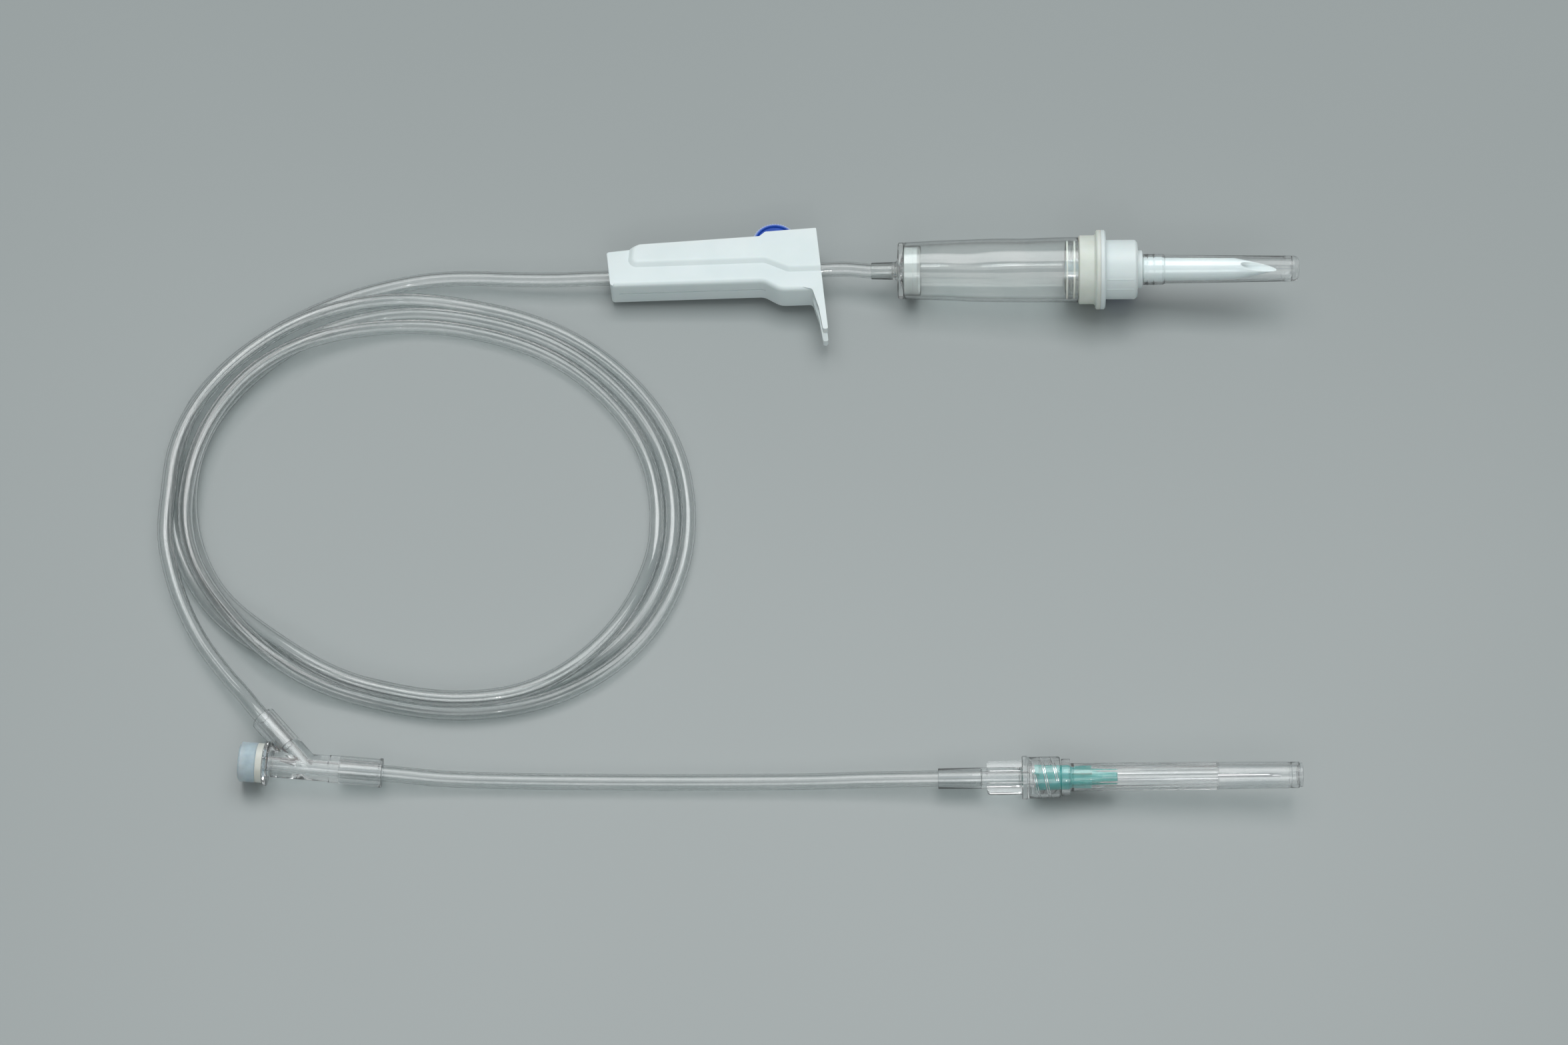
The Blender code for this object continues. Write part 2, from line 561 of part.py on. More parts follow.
def build_spike(material, parent):
    """White moulding: half of the flange, the vented hub, the neck and the spike."""
    flange = FLANGE_DIAMETER / 2
    hub = HUB_DIAMETER / 2
    neck = NECK_DIAMETER / 2
    collar = COLLAR_DIAMETER / 2
    point_start = SPIKE_TIP - SPIKE_POINT_LENGTH
    face = SLIP_GAP / 2
    profile = [
        (TIP_SEAT_DEPTH, 0.0),
        (TIP_SEAT_DEPTH, TIP_SHANK_DIAMETER / 2 + SEAT_GAP),
        (face, TIP_SHANK_DIAMETER / 2 + SEAT_GAP),
        (face, flange),
        (HUB_START - FLANGE_EDGE, flange),
        (HUB_START, flange - FLANGE_EDGE),
        (HUB_START, hub),
        (HUB_END - HUB_EDGE, hub),
        (HUB_END - HUB_EDGE * 0.3, hub - HUB_EDGE * 0.3),
        (HUB_END, hub - HUB_EDGE),
        (HUB_END, neck),
        (NECK_END - 0.2 * MM, neck),
        (NECK_END, neck - 0.2 * MM),
        (NECK_END, collar),
        (COLLAR_END - 0.3 * MM, collar),
        (COLLAR_END, SPIKE_ROOT_DIAMETER / 2),
        (point_start, SPIKE_SHAFT_DIAMETER / 2),
        (SPIKE_TIP, SPIKE_POINT_DIAMETER / 2),
        (SPIKE_TIP, 0.0),
    ]
    spike = turned("spike", profile, material, parent, is_ring=False)

    bevel_height = SPIKE_SHAFT_DIAMETER
    bevel_turn = Matrix.Rotation(SPIKE_BEVEL_ANGLE, 4, "Y")
    bevel_middle = Vector((SPIKE_TIP, 0.0, -SPIKE_POINT_DIAMETER / 2))
    bevel_middle += bevel_turn @ Vector((0.0, 0.0, bevel_height / 2))
    bevel_length = 4 * SPIKE_POINT_LENGTH
    combine(spike, block("spike_bevel_cut", bevel_middle, (bevel_length, bevel_height, bevel_height),
                         parent, bevel_turn), "DIFFERENCE")
    combine(spike, rod("spike_fluid_bore", (0.0, 0.0, SPIKE_FLUID_OFFSET),
                       (SPIKE_TIP + 1.0 * MM, 0.0, SPIKE_FLUID_OFFSET),
                       FLUID_BORE_RADIUS, parent, steps=16), "DIFFERENCE")
    combine(spike, rod("spike_air_bore", (VENT_X - 0.4 * MM, 0.0, -AIR_BORE_OFFSET),
                       (SPIKE_TIP + 1.0 * MM, 0.0, -AIR_BORE_OFFSET),
                       AIR_BORE_DIAMETER / 2, parent, steps=12), "DIFFERENCE")

    flat_distance = hub * math.cos(HUB_FLAT_HALF_ANGLE)
    flat_turn = Matrix.Rotation(-HUB_FLAT_ELEVATION, 4, "X")
    flat_depth = 2.0 * MM
    flat_middle = Vector(((HUB_START + HUB_END) / 2, 0.0, 0.0))
    flat_middle += flat_turn @ Vector((0.0, -flat_distance - flat_depth / 2, 0.0))
    combine(spike, block("hub_flat_cut", flat_middle,
                         (HUB_LENGTH - HUB_EDGE, flat_depth, hub), parent, flat_turn), "DIFFERENCE")

    vent_pad = VENT_CAP_DIAMETER + 1.0 * MM
    combine(spike, block("vent_pad_cut", (VENT_X + VENT_STRAP_LENGTH, 0.0, -VENT_FACE - hub / 2),
                         (vent_pad + 2.0 * VENT_STRAP_LENGTH, vent_pad, hub), parent), "DIFFERENCE")
    combine(spike, rod("vent_recess_cut", (VENT_X, 0.0, -hub),
                       (VENT_X, 0.0, -VENT_FACE + VENT_RECESS_DEPTH),
                       VENT_RECESS_DIAMETER / 2, parent), "DIFFERENCE")
    combine(spike, rod("vent_passage_cut", (VENT_X, 0.0, -hub), (VENT_X, 0.0, -AIR_BORE_OFFSET),
                       AIR_BORE_DIAMETER / 2, parent, steps=12), "DIFFERENCE")
    return spike


def build_vent_filter(material, parent):
    top = -VENT_FACE + VENT_RECESS_DEPTH - SEAT_GAP
    disc = rod("vent_filter", (VENT_X, 0.0, top - VENT_FILTER_THICKNESS), (VENT_X, 0.0, top),
               VENT_RECESS_DIAMETER / 2 - SLIP_GAP, parent)
    disc.data.materials.append(material)
    return disc


def build_vent_cap(material, parent):
    """Blue snap cap; its origin lies on the strap hinge, at the spike end of the hub."""
    hinge = Vector((VENT_X + VENT_CAP_DIAMETER / 2 + VENT_STRAP_LENGTH, 0.0, -VENT_FACE - SEAT_GAP))
    radius = VENT_CAP_DIAMETER / 2
    plug = VENT_RECESS_DIAMETER / 2 - SEAT_GAP
    top = -VENT_FACE - SEAT_GAP
    shape = [
        (top + VENT_PLUG_HEIGHT, 0.0),
        (top + VENT_PLUG_HEIGHT, plug - 0.1 * MM),
        (top + VENT_PLUG_HEIGHT - 0.1 * MM, plug),
        (top, plug),
        (top, radius),
        (top - VENT_CAP_THICKNESS + 0.3 * MM, radius),
        (top - VENT_CAP_THICKNESS, radius - 0.3 * MM),
        (top - VENT_CAP_THICKNESS, 0.0),
    ]
    bm = spin_profile(shape, ROUND_STEPS, False)
    upright = Matrix.Translation((VENT_X, 0.0, 0.0)) @ Matrix.Rotation(-math.pi / 2, 4, "Y")
    bmesh.ops.transform(bm, matrix=Matrix.Translation(-hinge) @ upright, verts=bm.verts)
    cap = finish_mesh("vent_cap", bm, material, parent, hinge)
    strap = block("vent_cap_strap", (-(VENT_STRAP_LENGTH + radius / 2) / 2, 0.0, -VENT_STRAP_THICKNESS / 2),
                  (VENT_STRAP_LENGTH + radius / 2, VENT_STRAP_WIDTH, VENT_STRAP_THICKNESS), parent)
    strap.location = hinge
    combine(cap, strap, "UNION")
    return cap


def build_spike_cap(material, parent):
    """Clear cap: a beaded socket round the collar, then a slender taper to a blunt end."""
    socket = COLLAR_DIAMETER / 2 + SPIKE_CAP_GAP
    root = SPIKE_ROOT_DIAMETER / 2 + SPIKE_CAP_GAP
    end = SPIKE_CAP_END_DIAMETER / 2
    bead_width = 0.5 * MM
    outer = [(SPIKE_CAP_START, socket + SPIKE_CAP_WALL)]
    for bead_x in (SPIKE_CAP_START + 0.2 * SPIKE_CAP_SOCKET_LENGTH,
                   SPIKE_CAP_START + 0.5 * SPIKE_CAP_SOCKET_LENGTH):
        outer.append((bead_x - bead_width / 2, socket + SPIKE_CAP_WALL))
        outer.append((bead_x, socket + SPIKE_CAP_WALL + SPIKE_CAP_BEAD))
        outer.append((bead_x + bead_width / 2, socket + SPIKE_CAP_WALL))
    outer += [
        (SPIKE_CAP_SHOULDER - 0.3 * MM, socket + SPIKE_CAP_WALL),
        (SPIKE_CAP_SHOULDER, root + SPIKE_CAP_WALL),
        (SPIKE_CAP_END - 1.2 * MM, end),
        (SPIKE_CAP_END - 0.35 * MM, end - 0.35 * MM),
        (SPIKE_CAP_END, end - 1.2 * MM),
        (SPIKE_CAP_END, 0.0),
    ]
    inner = [
        (SPIKE_CAP_END - SPIKE_CAP_WALL, 0.0),
        (SPIKE_CAP_END - SPIKE_CAP_WALL - 0.8 * MM, end - SPIKE_CAP_WALL),
        (SPIKE_CAP_SHOULDER, root),
        (SPIKE_CAP_SHOULDER - 0.3 * MM, socket),
        (SPIKE_CAP_START, socket),
    ]
    bm = spin_profile(outer + inner, ROUND_STEPS, True)
    return finish_mesh("spike_cap", bm, material, parent)


def clamp_outline():
    """Side outline of the clamp: low at its mouth, stepped up at the roller's parking end."""
    return rounded_outline([
        (0.0, CLAMP_MOUTH_TOP, 0.8 * MM),
        (PANEL_START, CLAMP_MOUTH_TOP + 0.8 * MM, 1.5 * MM),
        (CLAMP_SHOULDER[0], CLAMP_SHOULDER[1], 1.5 * MM),
        (CLAMP_STEP[0], CLAMP_STEP[1], 0.5 * MM),
        (CLAMP_STEP[0] + CLAMP_STEP_RISE, CLAMP_STEP[1] + CLAMP_STEP_RISE, 0.5 * MM),
        (CLAMP_LENGTH, CLAMP_END_TOP, 0.0),
        (CLAMP_LENGTH, -CLAMP_END_BACK, 0.0),
        (CLAMP_BACK_STEP[1], -CLAMP_END_BACK, CLAMP_BACK_CURVE),
        (CLAMP_BACK_STEP[0], -CLAMP_MOUTH_BACK, CLAMP_BACK_CURVE),
        (1.2 * MM, -CLAMP_MOUTH_BACK, 1.0 * MM),
    ])


def panel_outline():
    """Raised panel that covers the roller's track on each side."""
    return rounded_outline([
        (PANEL_START, PANEL_LOWER_EDGE + 1.2 * MM, PANEL_CORNER_RADIUS),
        (PANEL_START + 0.6 * MM, CLAMP_MOUTH_TOP + 0.6 * MM, 1.0 * MM),
        (CLAMP_SHOULDER[0], CLAMP_SHOULDER[1] - 0.1 * MM, PANEL_CORNER_RADIUS),
        (CLAMP_STEP[0], CLAMP_STEP[1] - 0.1 * MM, 0.5 * MM),
        (CLAMP_STEP[0] + CLAMP_STEP_RISE, CLAMP_STEP[1] + CLAMP_STEP_RISE - 0.1 * MM, 0.5 * MM),
        (CLAMP_LENGTH, CLAMP_END_TOP - 0.1 * MM, 0.0),
        (CLAMP_LENGTH, PANEL_END_LOWER_EDGE, 0.0),
        (PANEL_STEP + PANEL_STEP_RUN, PANEL_END_LOWER_EDGE, PANEL_CORNER_RADIUS),
        (PANEL_STEP, PANEL_LOWER_EDGE + 1.1 * MM, PANEL_CORNER_RADIUS),
        (PANEL_START + 2.4 * MM, PANEL_LOWER_EDGE, PANEL_CORNER_RADIUS),
    ])


def channel_outline():
    """Open channel: its floor runs under the tube and drops at the parking end."""
    open_side = CLAMP_END_TOP + 2.0 * MM
    beyond = 4.0 * MM
    return rounded_outline([
        (-beyond, open_side, 0.0),
        (CLAMP_LENGTH + beyond, open_side, 0.0),
        (CLAMP_LENGTH + beyond, -CLAMP_END_FLOOR, 0.0),
        (CLAMP_BACK_STEP[1] + 1.0 * MM, -CLAMP_END_FLOOR, 2.0 * MM),
        (CLAMP_BACK_STEP[0] + 1.0 * MM, -CLAMP_FLOOR, 2.0 * MM),
        (-beyond, -CLAMP_FLOOR, 0.0),
    ])


def track_outline():
    """Slot with round ends, from the pinched place to the parked place."""
    radius = ROLLER_PIN_DIAMETER / 2 + TRACK_GAP
    low = Vector(PINCHED_PLACE)
    high = Vector(PARKED_PLACE)
    along = (high - low).normalized()
    points = []
    for centre, first in ((high, -math.pi / 2), (low, math.pi / 2)):
        for step in range(9):
            turn = Matrix.Rotation(first + math.pi * step / 8, 2)
            points.append(centre + turn @ along * radius)
    return points


def end_plate_outline():
    """End plate with its two prongs, seen from the side: it leans out towards their tips."""
    lean = math.tan(END_PLATE_LEAN)
    top = CLAMP_END_TOP
    tip = -CLAMP_END_BACK - PRONG_LENGTH

    def outer_face(y):
        return CLAMP_LENGTH + lean * (top - y)

    root = -CLAMP_END_BACK
    gusset_end = root - PRONG_GUSSET_LENGTH
    return rounded_outline([
        (outer_face(top), top, 0.0),
        (outer_face(tip), tip, 0.45 * MM),
        (outer_face(tip) - PRONG_TIP_THICKNESS, tip, 0.45 * MM),
        (outer_face(gusset_end) - PRONG_BLADE_THICKNESS, gusset_end, 3.0 * MM),
        (outer_face(root) - PRONG_ROOT_THICKNESS, root, 1.2 * MM),
        (CLAMP_LENGTH - PRONG_ROOT_THICKNESS - 1.0 * MM, root + 0.6 * MM, 0.0),
        (CLAMP_LENGTH - END_PLATE_THICKNESS, root + 1.0 * MM, 0.0),
        (CLAMP_LENGTH - END_PLATE_THICKNESS, top, 0.0),
    ], steps=3)


def build_clamp_housing(material, parent):
    """One moulding: channel, side walls with blind roller tracks, end plate and prongs."""
    half = CLAMP_HALF_WIDTH
    panel_half = half + PANEL_HEIGHT
    housing = extruded("clamp_housing", clamp_outline(), -half, half, material, parent, CLAMP_EDGE)
    combine(housing, extruded("clamp_panels", panel_outline(), -panel_half, panel_half,
                              None, parent, CLAMP_EDGE), "UNION")
    combine(housing, extruded("clamp_end_plate", end_plate_outline(), -half, half,
                              None, parent), "UNION")

    slot_low = -CLAMP_END_BACK - 2.0 * MM
    slot_radius = PRONG_SLOT_WIDTH / 2
    reach = 4 * PRONG_ROOT_THICKNESS
    slot_length = PRONG_LENGTH
    combine(housing, block("prong_slot_cut", (CLAMP_LENGTH, slot_low - slot_length / 2, 0.0),
                           (reach, slot_length, PRONG_SLOT_WIDTH), parent), "DIFFERENCE")
    combine(housing, rod("prong_slot_end_cut", (CLAMP_LENGTH - reach / 2, slot_low, 0.0),
                         (CLAMP_LENGTH + reach / 2, slot_low, 0.0), slot_radius, parent,
                         steps=16), "DIFFERENCE")
    trim_height = 2 * CLAMP_HALF_WIDTH
    for side in (-1, 1):
        trim_low = PRONG_SLOT_WIDTH / 2 + PRONG_WIDTH
        combine(housing, block(f"prong_trim_cut_{side}",
                               (CLAMP_LENGTH, slot_low - slot_length / 2, side * (trim_low + trim_height / 2)),
                               (reach, slot_length, trim_height), parent), "DIFFERENCE")

    channel_half = CLAMP_CHANNEL_WIDTH / 2
    combine(housing, extruded("channel_cut", channel_outline(), -channel_half, channel_half,
                              None, parent), "DIFFERENCE")
    track_half = channel_half + TRACK_DEPTH
    combine(housing, extruded("track_cut", track_outline(), -track_half, track_half,
                              None, parent), "DIFFERENCE")
    groove_length = CLAMP_BACK_STEP[0]
    combine(housing, block("back_groove_cut", (groove_length / 2 + 2.0 * MM, -CLAMP_MOUTH_BACK, 0.0),
                           (groove_length, 2 * BACK_GROOVE_DEPTH, BACK_GROOVE_WIDTH), parent), "DIFFERENCE")
    return housing


def build_roller(material, parent):
    """Knurled wheel with recessed faces and two stub pins; its origin is its centre."""
    half = CLAMP_CHANNEL_WIDTH / 2 - ROLLER_SIDE_GAP
    pin_end = CLAMP_CHANNEL_WIDTH / 2 + TRACK_DEPTH - ROLLER_SIDE_GAP
    pin = ROLLER_PIN_DIAMETER / 2
    face = ROLLER_RADIUS - ROLLER_RIM
    side = [
        (pin_end, 0.0),
        (pin_end, pin),
        (half - ROLLER_RECESS, pin),
        (half - ROLLER_RECESS, face - 0.2 * MM),
        (half, face),
        (half, ROLLER_RADIUS - 0.3 * MM),
        (half - 0.3 * MM, ROLLER_RADIUS),
    ]
    profile = side + [(-x, radius) for x, radius in reversed(side)]
    bm = spin_profile(profile, 2 * ROLLER_TEETH, False)
    for vert in bm.verts:
        radius = math.hypot(vert.co.y, vert.co.z)
        place = round(math.atan2(vert.co.y, vert.co.z) / math.tau * 2 * ROLLER_TEETH)
        if radius > ROLLER_RADIUS - 0.31 * MM and place % 2:
            vert.co.y *= 1 - ROLLER_TOOTH_DEPTH / radius
            vert.co.z *= 1 - ROLLER_TOOTH_DEPTH / radius
    bmesh.ops.rotate(bm, verts=bm.verts, cent=(0.0, 0.0, 0.0), matrix=Matrix.Rotation(math.pi / 2, 3, "Y"))
    return finish_mesh("roller", bm, material, parent, (*PARKED_PLACE, 0.0))


def arm_point(distance):
    """A point on the arm's axis, measured from the body's axis."""
    return Vector((Y_ARM_FOOT - distance * math.cos(Y_ARM_ANGLE), distance * math.sin(Y_ARM_ANGLE), 0.0))


def build_y_body(material, parent):
    """Clear Y: a straight body with a flange and port neck, a slanted arm and a web."""
    flange_half = Y_FLANGE_THICKNESS / 2
    body = Y_BODY_DIAMETER / 2
    sleeve = Y_SLEEVE_DIAMETER / 2
    rim = Y_SLEEVE_RIM_DIAMETER / 2
    neck = Y_NECK_DIAMETER / 2
    flange = Y_FLANGE_DIAMETER / 2
    rim_start = Y_SLEEVE_END - Y_SLEEVE_RIM_LENGTH
    profile = [
        (-flange_half - Y_NECK_LENGTH, 0.0),
        (-flange_half - Y_NECK_LENGTH, neck - 0.3 * MM),
        (-flange_half - Y_NECK_LENGTH + 0.3 * MM, neck),
        (-flange_half, neck),
        (-flange_half, flange - 0.2 * MM),
        (-flange_half + 0.2 * MM, flange),
        (flange_half, flange),
        (flange_half, body),
        (Y_SLEEVE_START, body),
        (Y_SLEEVE_START + 0.3 * MM, sleeve),
        (rim_start, sleeve),
        (rim_start + 0.2 * MM, rim),
        (Y_SLEEVE_END, rim),
        (Y_SLEEVE_END, 0.0),
    ]
    y_body = turned("y_body", profile, material, parent, is_ring=False)
    combine(y_body, rod("y_arm", arm_point(0.0), arm_point(Y_ARM_LENGTH), Y_ARM_DIAMETER / 2,
                        parent), "UNION")
    web_reach = 0.62 * Y_ARM_LENGTH * math.sin(Y_ARM_ANGLE)
    web_corners = [(0.0, 0.0), (0.0, web_reach), (Y_ARM_FOOT, 0.0)]
    combine(y_body, extruded("y_web", web_corners, -Y_WEB_THICKNESS / 2, Y_WEB_THICKNESS / 2,
                             None, parent), "UNION")
    mark_half = Y_WEB_THICKNESS / 2 + Y_EJECTOR_HEIGHT
    mark = (0.19 * Y_ARM_FOOT, (body + web_reach) / 2 - 0.6 * MM)
    combine(y_body, rod("y_ejector_mark", (*mark, -mark_half), (*mark, mark_half),
                        Y_EJECTOR_DIAMETER / 2, parent, steps=16), "UNION")
    combine(y_body, rod("y_main_bore", (-flange_half - Y_NECK_LENGTH - 1.0 * MM, 0.0, 0.0),
                        (Y_SLEEVE_END + 1.0 * MM, 0.0, 0.0), FLUID_BORE_RADIUS, parent), "DIFFERENCE")
    combine(y_body, rod("y_sleeve_bore", (Y_SLEEVE_END - TUBE_SOCKET_DEPTH, 0.0, 0.0),
                        (Y_SLEEVE_END + 1.0 * MM, 0.0, 0.0), TUBE_SOCKET_RADIUS, parent), "DIFFERENCE")
    combine(y_body, rod("y_arm_bore", arm_point(0.0), arm_point(Y_ARM_LENGTH + 1.0 * MM),
                        FLUID_BORE_RADIUS, parent), "DIFFERENCE")
    combine(y_body, rod("y_arm_socket", arm_point(Y_ARM_LENGTH - TUBE_SOCKET_DEPTH),
                        arm_point(Y_ARM_LENGTH + 1.0 * MM), TUBE_SOCKET_RADIUS, parent), "DIFFERENCE")
    return y_body


def build_port_cap(material, parent):
    """Rubber injection cap pulled over the port neck up to the flange."""
    outer = PORT_CAP_DIAMETER / 2
    inner = Y_NECK_DIAMETER / 2 + SLIP_GAP
    mouth = -Y_FLANGE_THICKNESS / 2 - SLIP_GAP
    end = mouth - PORT_CAP_LENGTH
    band = mouth - PORT_CAP_BAND
    target = inner * 0.7
    profile = [
        (end + 0.3 * MM, 0.0),
        (end + 0.3 * MM, target),
        (end, target + 0.3 * MM),
        (end, outer - PORT_CAP_EDGE),
        (end + PORT_CAP_EDGE, outer),
        (band - 0.2 * MM, outer),
        (band, outer - 0.2 * MM),
        (mouth, outer - 0.2 * MM),
        (mouth, inner),
        (-Y_FLANGE_THICKNESS / 2 - Y_NECK_LENGTH - SLIP_GAP, inner),
        (-Y_FLANGE_THICKNESS / 2 - Y_NECK_LENGTH - SLIP_GAP, 0.0),
    ]
    return turned("port_cap", profile, material, parent, is_ring=False)


def luer_cone_radius(x):
    """Male cone of six per cent taper, narrowest at its tip."""
    return LUER_CONE_TIP_DIAMETER / 2 + (LUER_CONE_END - x) * LUER_CONE_TAPER / 2


def build_luer_connector(material, parent):
    """Tube socket, winged body, flange, and a lock collar round the male cone."""
    half = LUER_FLANGE_THICKNESS / 2
    flange = LUER_FLANGE_DIAMETER / 2
    collar = LUER_COLLAR_DIAMETER / 2
    floor = half + 0.3 * MM
    body_start = -half - LUER_BODY_LENGTH
    profile = [
        (LUER_SOCKET_MOUTH, TUBE_SOCKET_RADIUS),
        (LUER_SOCKET_MOUTH, LUER_SOCKET_RADIUS - 0.1 * MM),
        (body_start, LUER_SOCKET_RADIUS),
        (body_start, LUER_BODY_DIAMETER / 2),
        (-half, LUER_BODY_DIAMETER / 2),
        (-half, flange - 0.2 * MM),
        (-half + 0.2 * MM, flange),
        (half, flange),
        (half, collar),
        (LUER_COLLAR_END - 0.2 * MM, collar),
        (LUER_COLLAR_END, collar - 0.2 * MM),
        (LUER_COLLAR_END, collar - LUER_COLLAR_WALL),
        (floor, collar - LUER_COLLAR_WALL),
        (floor, luer_cone_radius(floor)),
        (LUER_CONE_END - 0.2 * MM, luer_cone_radius(LUER_CONE_END)),
        (LUER_CONE_END, luer_cone_radius(LUER_CONE_END) - 0.2 * MM),
        (LUER_CONE_END, FLUID_BORE_RADIUS),
        (LUER_SOCKET_SEAT, FLUID_BORE_RADIUS),
        (LUER_SOCKET_SEAT, TUBE_SOCKET_RADIUS),
    ]
    connector = turned("luer_connector", profile, material, parent)
    wing_outline = rounded_outline([
        (body_start, WING_SPAN / 2, WING_CORNER),
        (0.0, WING_SPAN / 2, 0.0),
        (0.0, -WING_SPAN / 2, 0.0),
        (body_start, -WING_SPAN / 2, WING_CORNER),
    ])
    combine(connector, extruded("luer_wings", wing_outline, -WING_THICKNESS / 2, WING_THICKNESS / 2,
                                None, parent), "UNION")
    combine(connector, rod("luer_body_bore", (LUER_SOCKET_SEAT - 1.0 * MM, 0.0, 0.0),
                           (1.0 * MM, 0.0, 0.0), FLUID_BORE_RADIUS, parent,
                           steps=ROUND_STEPS), "DIFFERENCE")
    return connector


def build_needle_hub(material, parent):
    """Teal hub: lugs at its mouth, a socket for the male cone, grip fins and a nose."""
    outer = NEEDLE_HUB_DIAMETER / 2
    core = NEEDLE_CORE_DIAMETER / 2
    socket_end = LUER_CONE_END + SEAT_GAP
    hole = CANNULA_DIAMETER / 2 + SLIP_GAP
    mouth = luer_cone_radius(NEEDLE_HUB_START) + SLIP_GAP
    profile = [
        (NEEDLE_HUB_START, mouth),
        (NEEDLE_HUB_START, outer),
        (NEEDLE_FIN_START - 0.4 * MM, outer - 0.1 * MM),
        (NEEDLE_FIN_START, NEEDLE_FIN_DIAMETER / 2),
        (NEEDLE_FIN_START + 0.6 * MM, NEEDLE_FIN_DIAMETER / 2),
        (NEEDLE_FIN_START + 0.9 * MM, core + 0.2 * MM),
        (NEEDLE_FIN_END, core),
        (NEEDLE_HUB_END - 0.3 * MM, NEEDLE_NOSE_DIAMETER / 2),
        (NEEDLE_HUB_END, NEEDLE_NOSE_DIAMETER / 2 - 0.3 * MM),
        (NEEDLE_HUB_END, hole),
        (socket_end, hole),
        (socket_end, luer_cone_radius(LUER_CONE_END) + SLIP_GAP),
    ]
    hub = turned("needle_hub", profile, material, parent, steps=SMALL_ROUND_STEPS)
    lug_width = 2.2 * MM
    wall_middle = (mouth + outer) / 2
    lug_height = NEEDLE_LUG_DIAMETER / 2 - wall_middle
    for side in (-1, 1):
        combine(hub, block(f"needle_lug_{side}",
                           (NEEDLE_HUB_START + NEEDLE_LUG_LENGTH / 2, 0.0,
                            side * (wall_middle + lug_height / 2)),
                           (NEEDLE_LUG_LENGTH, lug_width, lug_height), parent), "UNION")
    fin_start = NEEDLE_FIN_START + 0.3 * MM
    fin_height = NEEDLE_FIN_DIAMETER / 2 - core / 2
    for index in range(NEEDLE_FIN_COUNT):
        turn = Matrix.Rotation(math.tau * index / NEEDLE_FIN_COUNT, 4, "X")
        middle = turn @ Vector(((fin_start + NEEDLE_FIN_END) / 2, 0.0, core / 2 + fin_height / 2))
        combine(hub, block(f"needle_fin_{index}", middle,
                           (NEEDLE_FIN_END - fin_start, NEEDLE_FIN_THICKNESS, fin_height),
                           parent, turn), "UNION")
    combine(hub, rod("cannula_hole_cut", (socket_end - 1.0 * MM, 0.0, 0.0),
                     (NEEDLE_HUB_END + 1.0 * MM, 0.0, 0.0), hole, parent, steps=16), "DIFFERENCE")
    return hub


def build_cannula(material, parent):
    """Steel tube with a slanted point."""
    outer = CANNULA_DIAMETER / 2
    inner = CANNULA_BORE_DIAMETER / 2
    start = NEEDLE_HUB_END - CANNULA_SEATED
    profile = [(start, inner), (start, outer), (NEEDLE_TIP, outer), (NEEDLE_TIP, inner)]
    bm = spin_profile(profile, CANNULA_STEPS, True)
    for vert in bm.verts:
        if vert.co.x > NEEDLE_TIP - WELD_DISTANCE:
            vert.co.x -= (outer + vert.co.z) / math.tan(CANNULA_BEVEL_ANGLE)
    return finish_mesh("cannula", bm, material, parent)


def build_needle_cap(material, parent):
    """Clear sheath: a ring at its mouth, a ribbed grip, and a slimmer smooth end."""
    ring = NEEDLE_CAP_RING_DIAMETER / 2
    ribbed = NEEDLE_CAP_RIBBED_DIAMETER / 2
    slim = NEEDLE_CAP_END_DIAMETER / 2
    hub_room = NEEDLE_HUB_DIAMETER / 2 + SLIP_GAP
    ribbed_start = NEEDLE_FIN_START + 0.3 * MM
    profile = [
        (NEEDLE_CAP_START, hub_room),
        (NEEDLE_CAP_START, ring),
        (NEEDLE_FIN_START, ring),
        (NEEDLE_FIN_START, ribbed + 0.1 * MM),
        (ribbed_start, ribbed),
        (NEEDLE_CAP_RIBBED_END, ribbed),
        (NEEDLE_CAP_RIBBED_END + 0.4 * MM, slim + 0.1 * MM),
        (NEEDLE_CAP_END - 0.8 * MM, slim),
        (NEEDLE_CAP_END - 0.7 * MM, slim - 0.25 * MM),
        (NEEDLE_CAP_END, slim - 0.25 * MM),
        (NEEDLE_CAP_END, 0.0),
        (NEEDLE_CAP_END - NEEDLE_CAP_WALL, 0.0),
        (NEEDLE_CAP_END - NEEDLE_CAP_WALL - 0.2 * MM, slim - 0.25 * MM - NEEDLE_CAP_WALL),
        (NEEDLE_CAP_RIBBED_END, slim - NEEDLE_CAP_WALL),
        (NEEDLE_FIN_START + 0.9 * MM, ribbed - NEEDLE_CAP_WALL),
        (NEEDLE_FIN_START, hub_room),
    ]
    bm = spin_profile(profile, NEEDLE_CAP_STEPS, True)
    for vert in bm.verts:
        radius = math.hypot(vert.co.y, vert.co.z)
        place = round(math.atan2(vert.co.y, vert.co.z) / math.tau * NEEDLE_CAP_STEPS)
        on_grip = ribbed_start - WELD_DISTANCE < vert.co.x < NEEDLE_CAP_RIBBED_END + WELD_DISTANCE
        if on_grip and radius > ribbed - WELD_DISTANCE and place % 2:
            vert.co.y *= 1 - NEEDLE_CAP_RIB_HEIGHT / radius
            vert.co.z *= 1 - NEEDLE_CAP_RIB_HEIGHT / radius
    return finish_mesh("needle_cap", bm, material, parent)


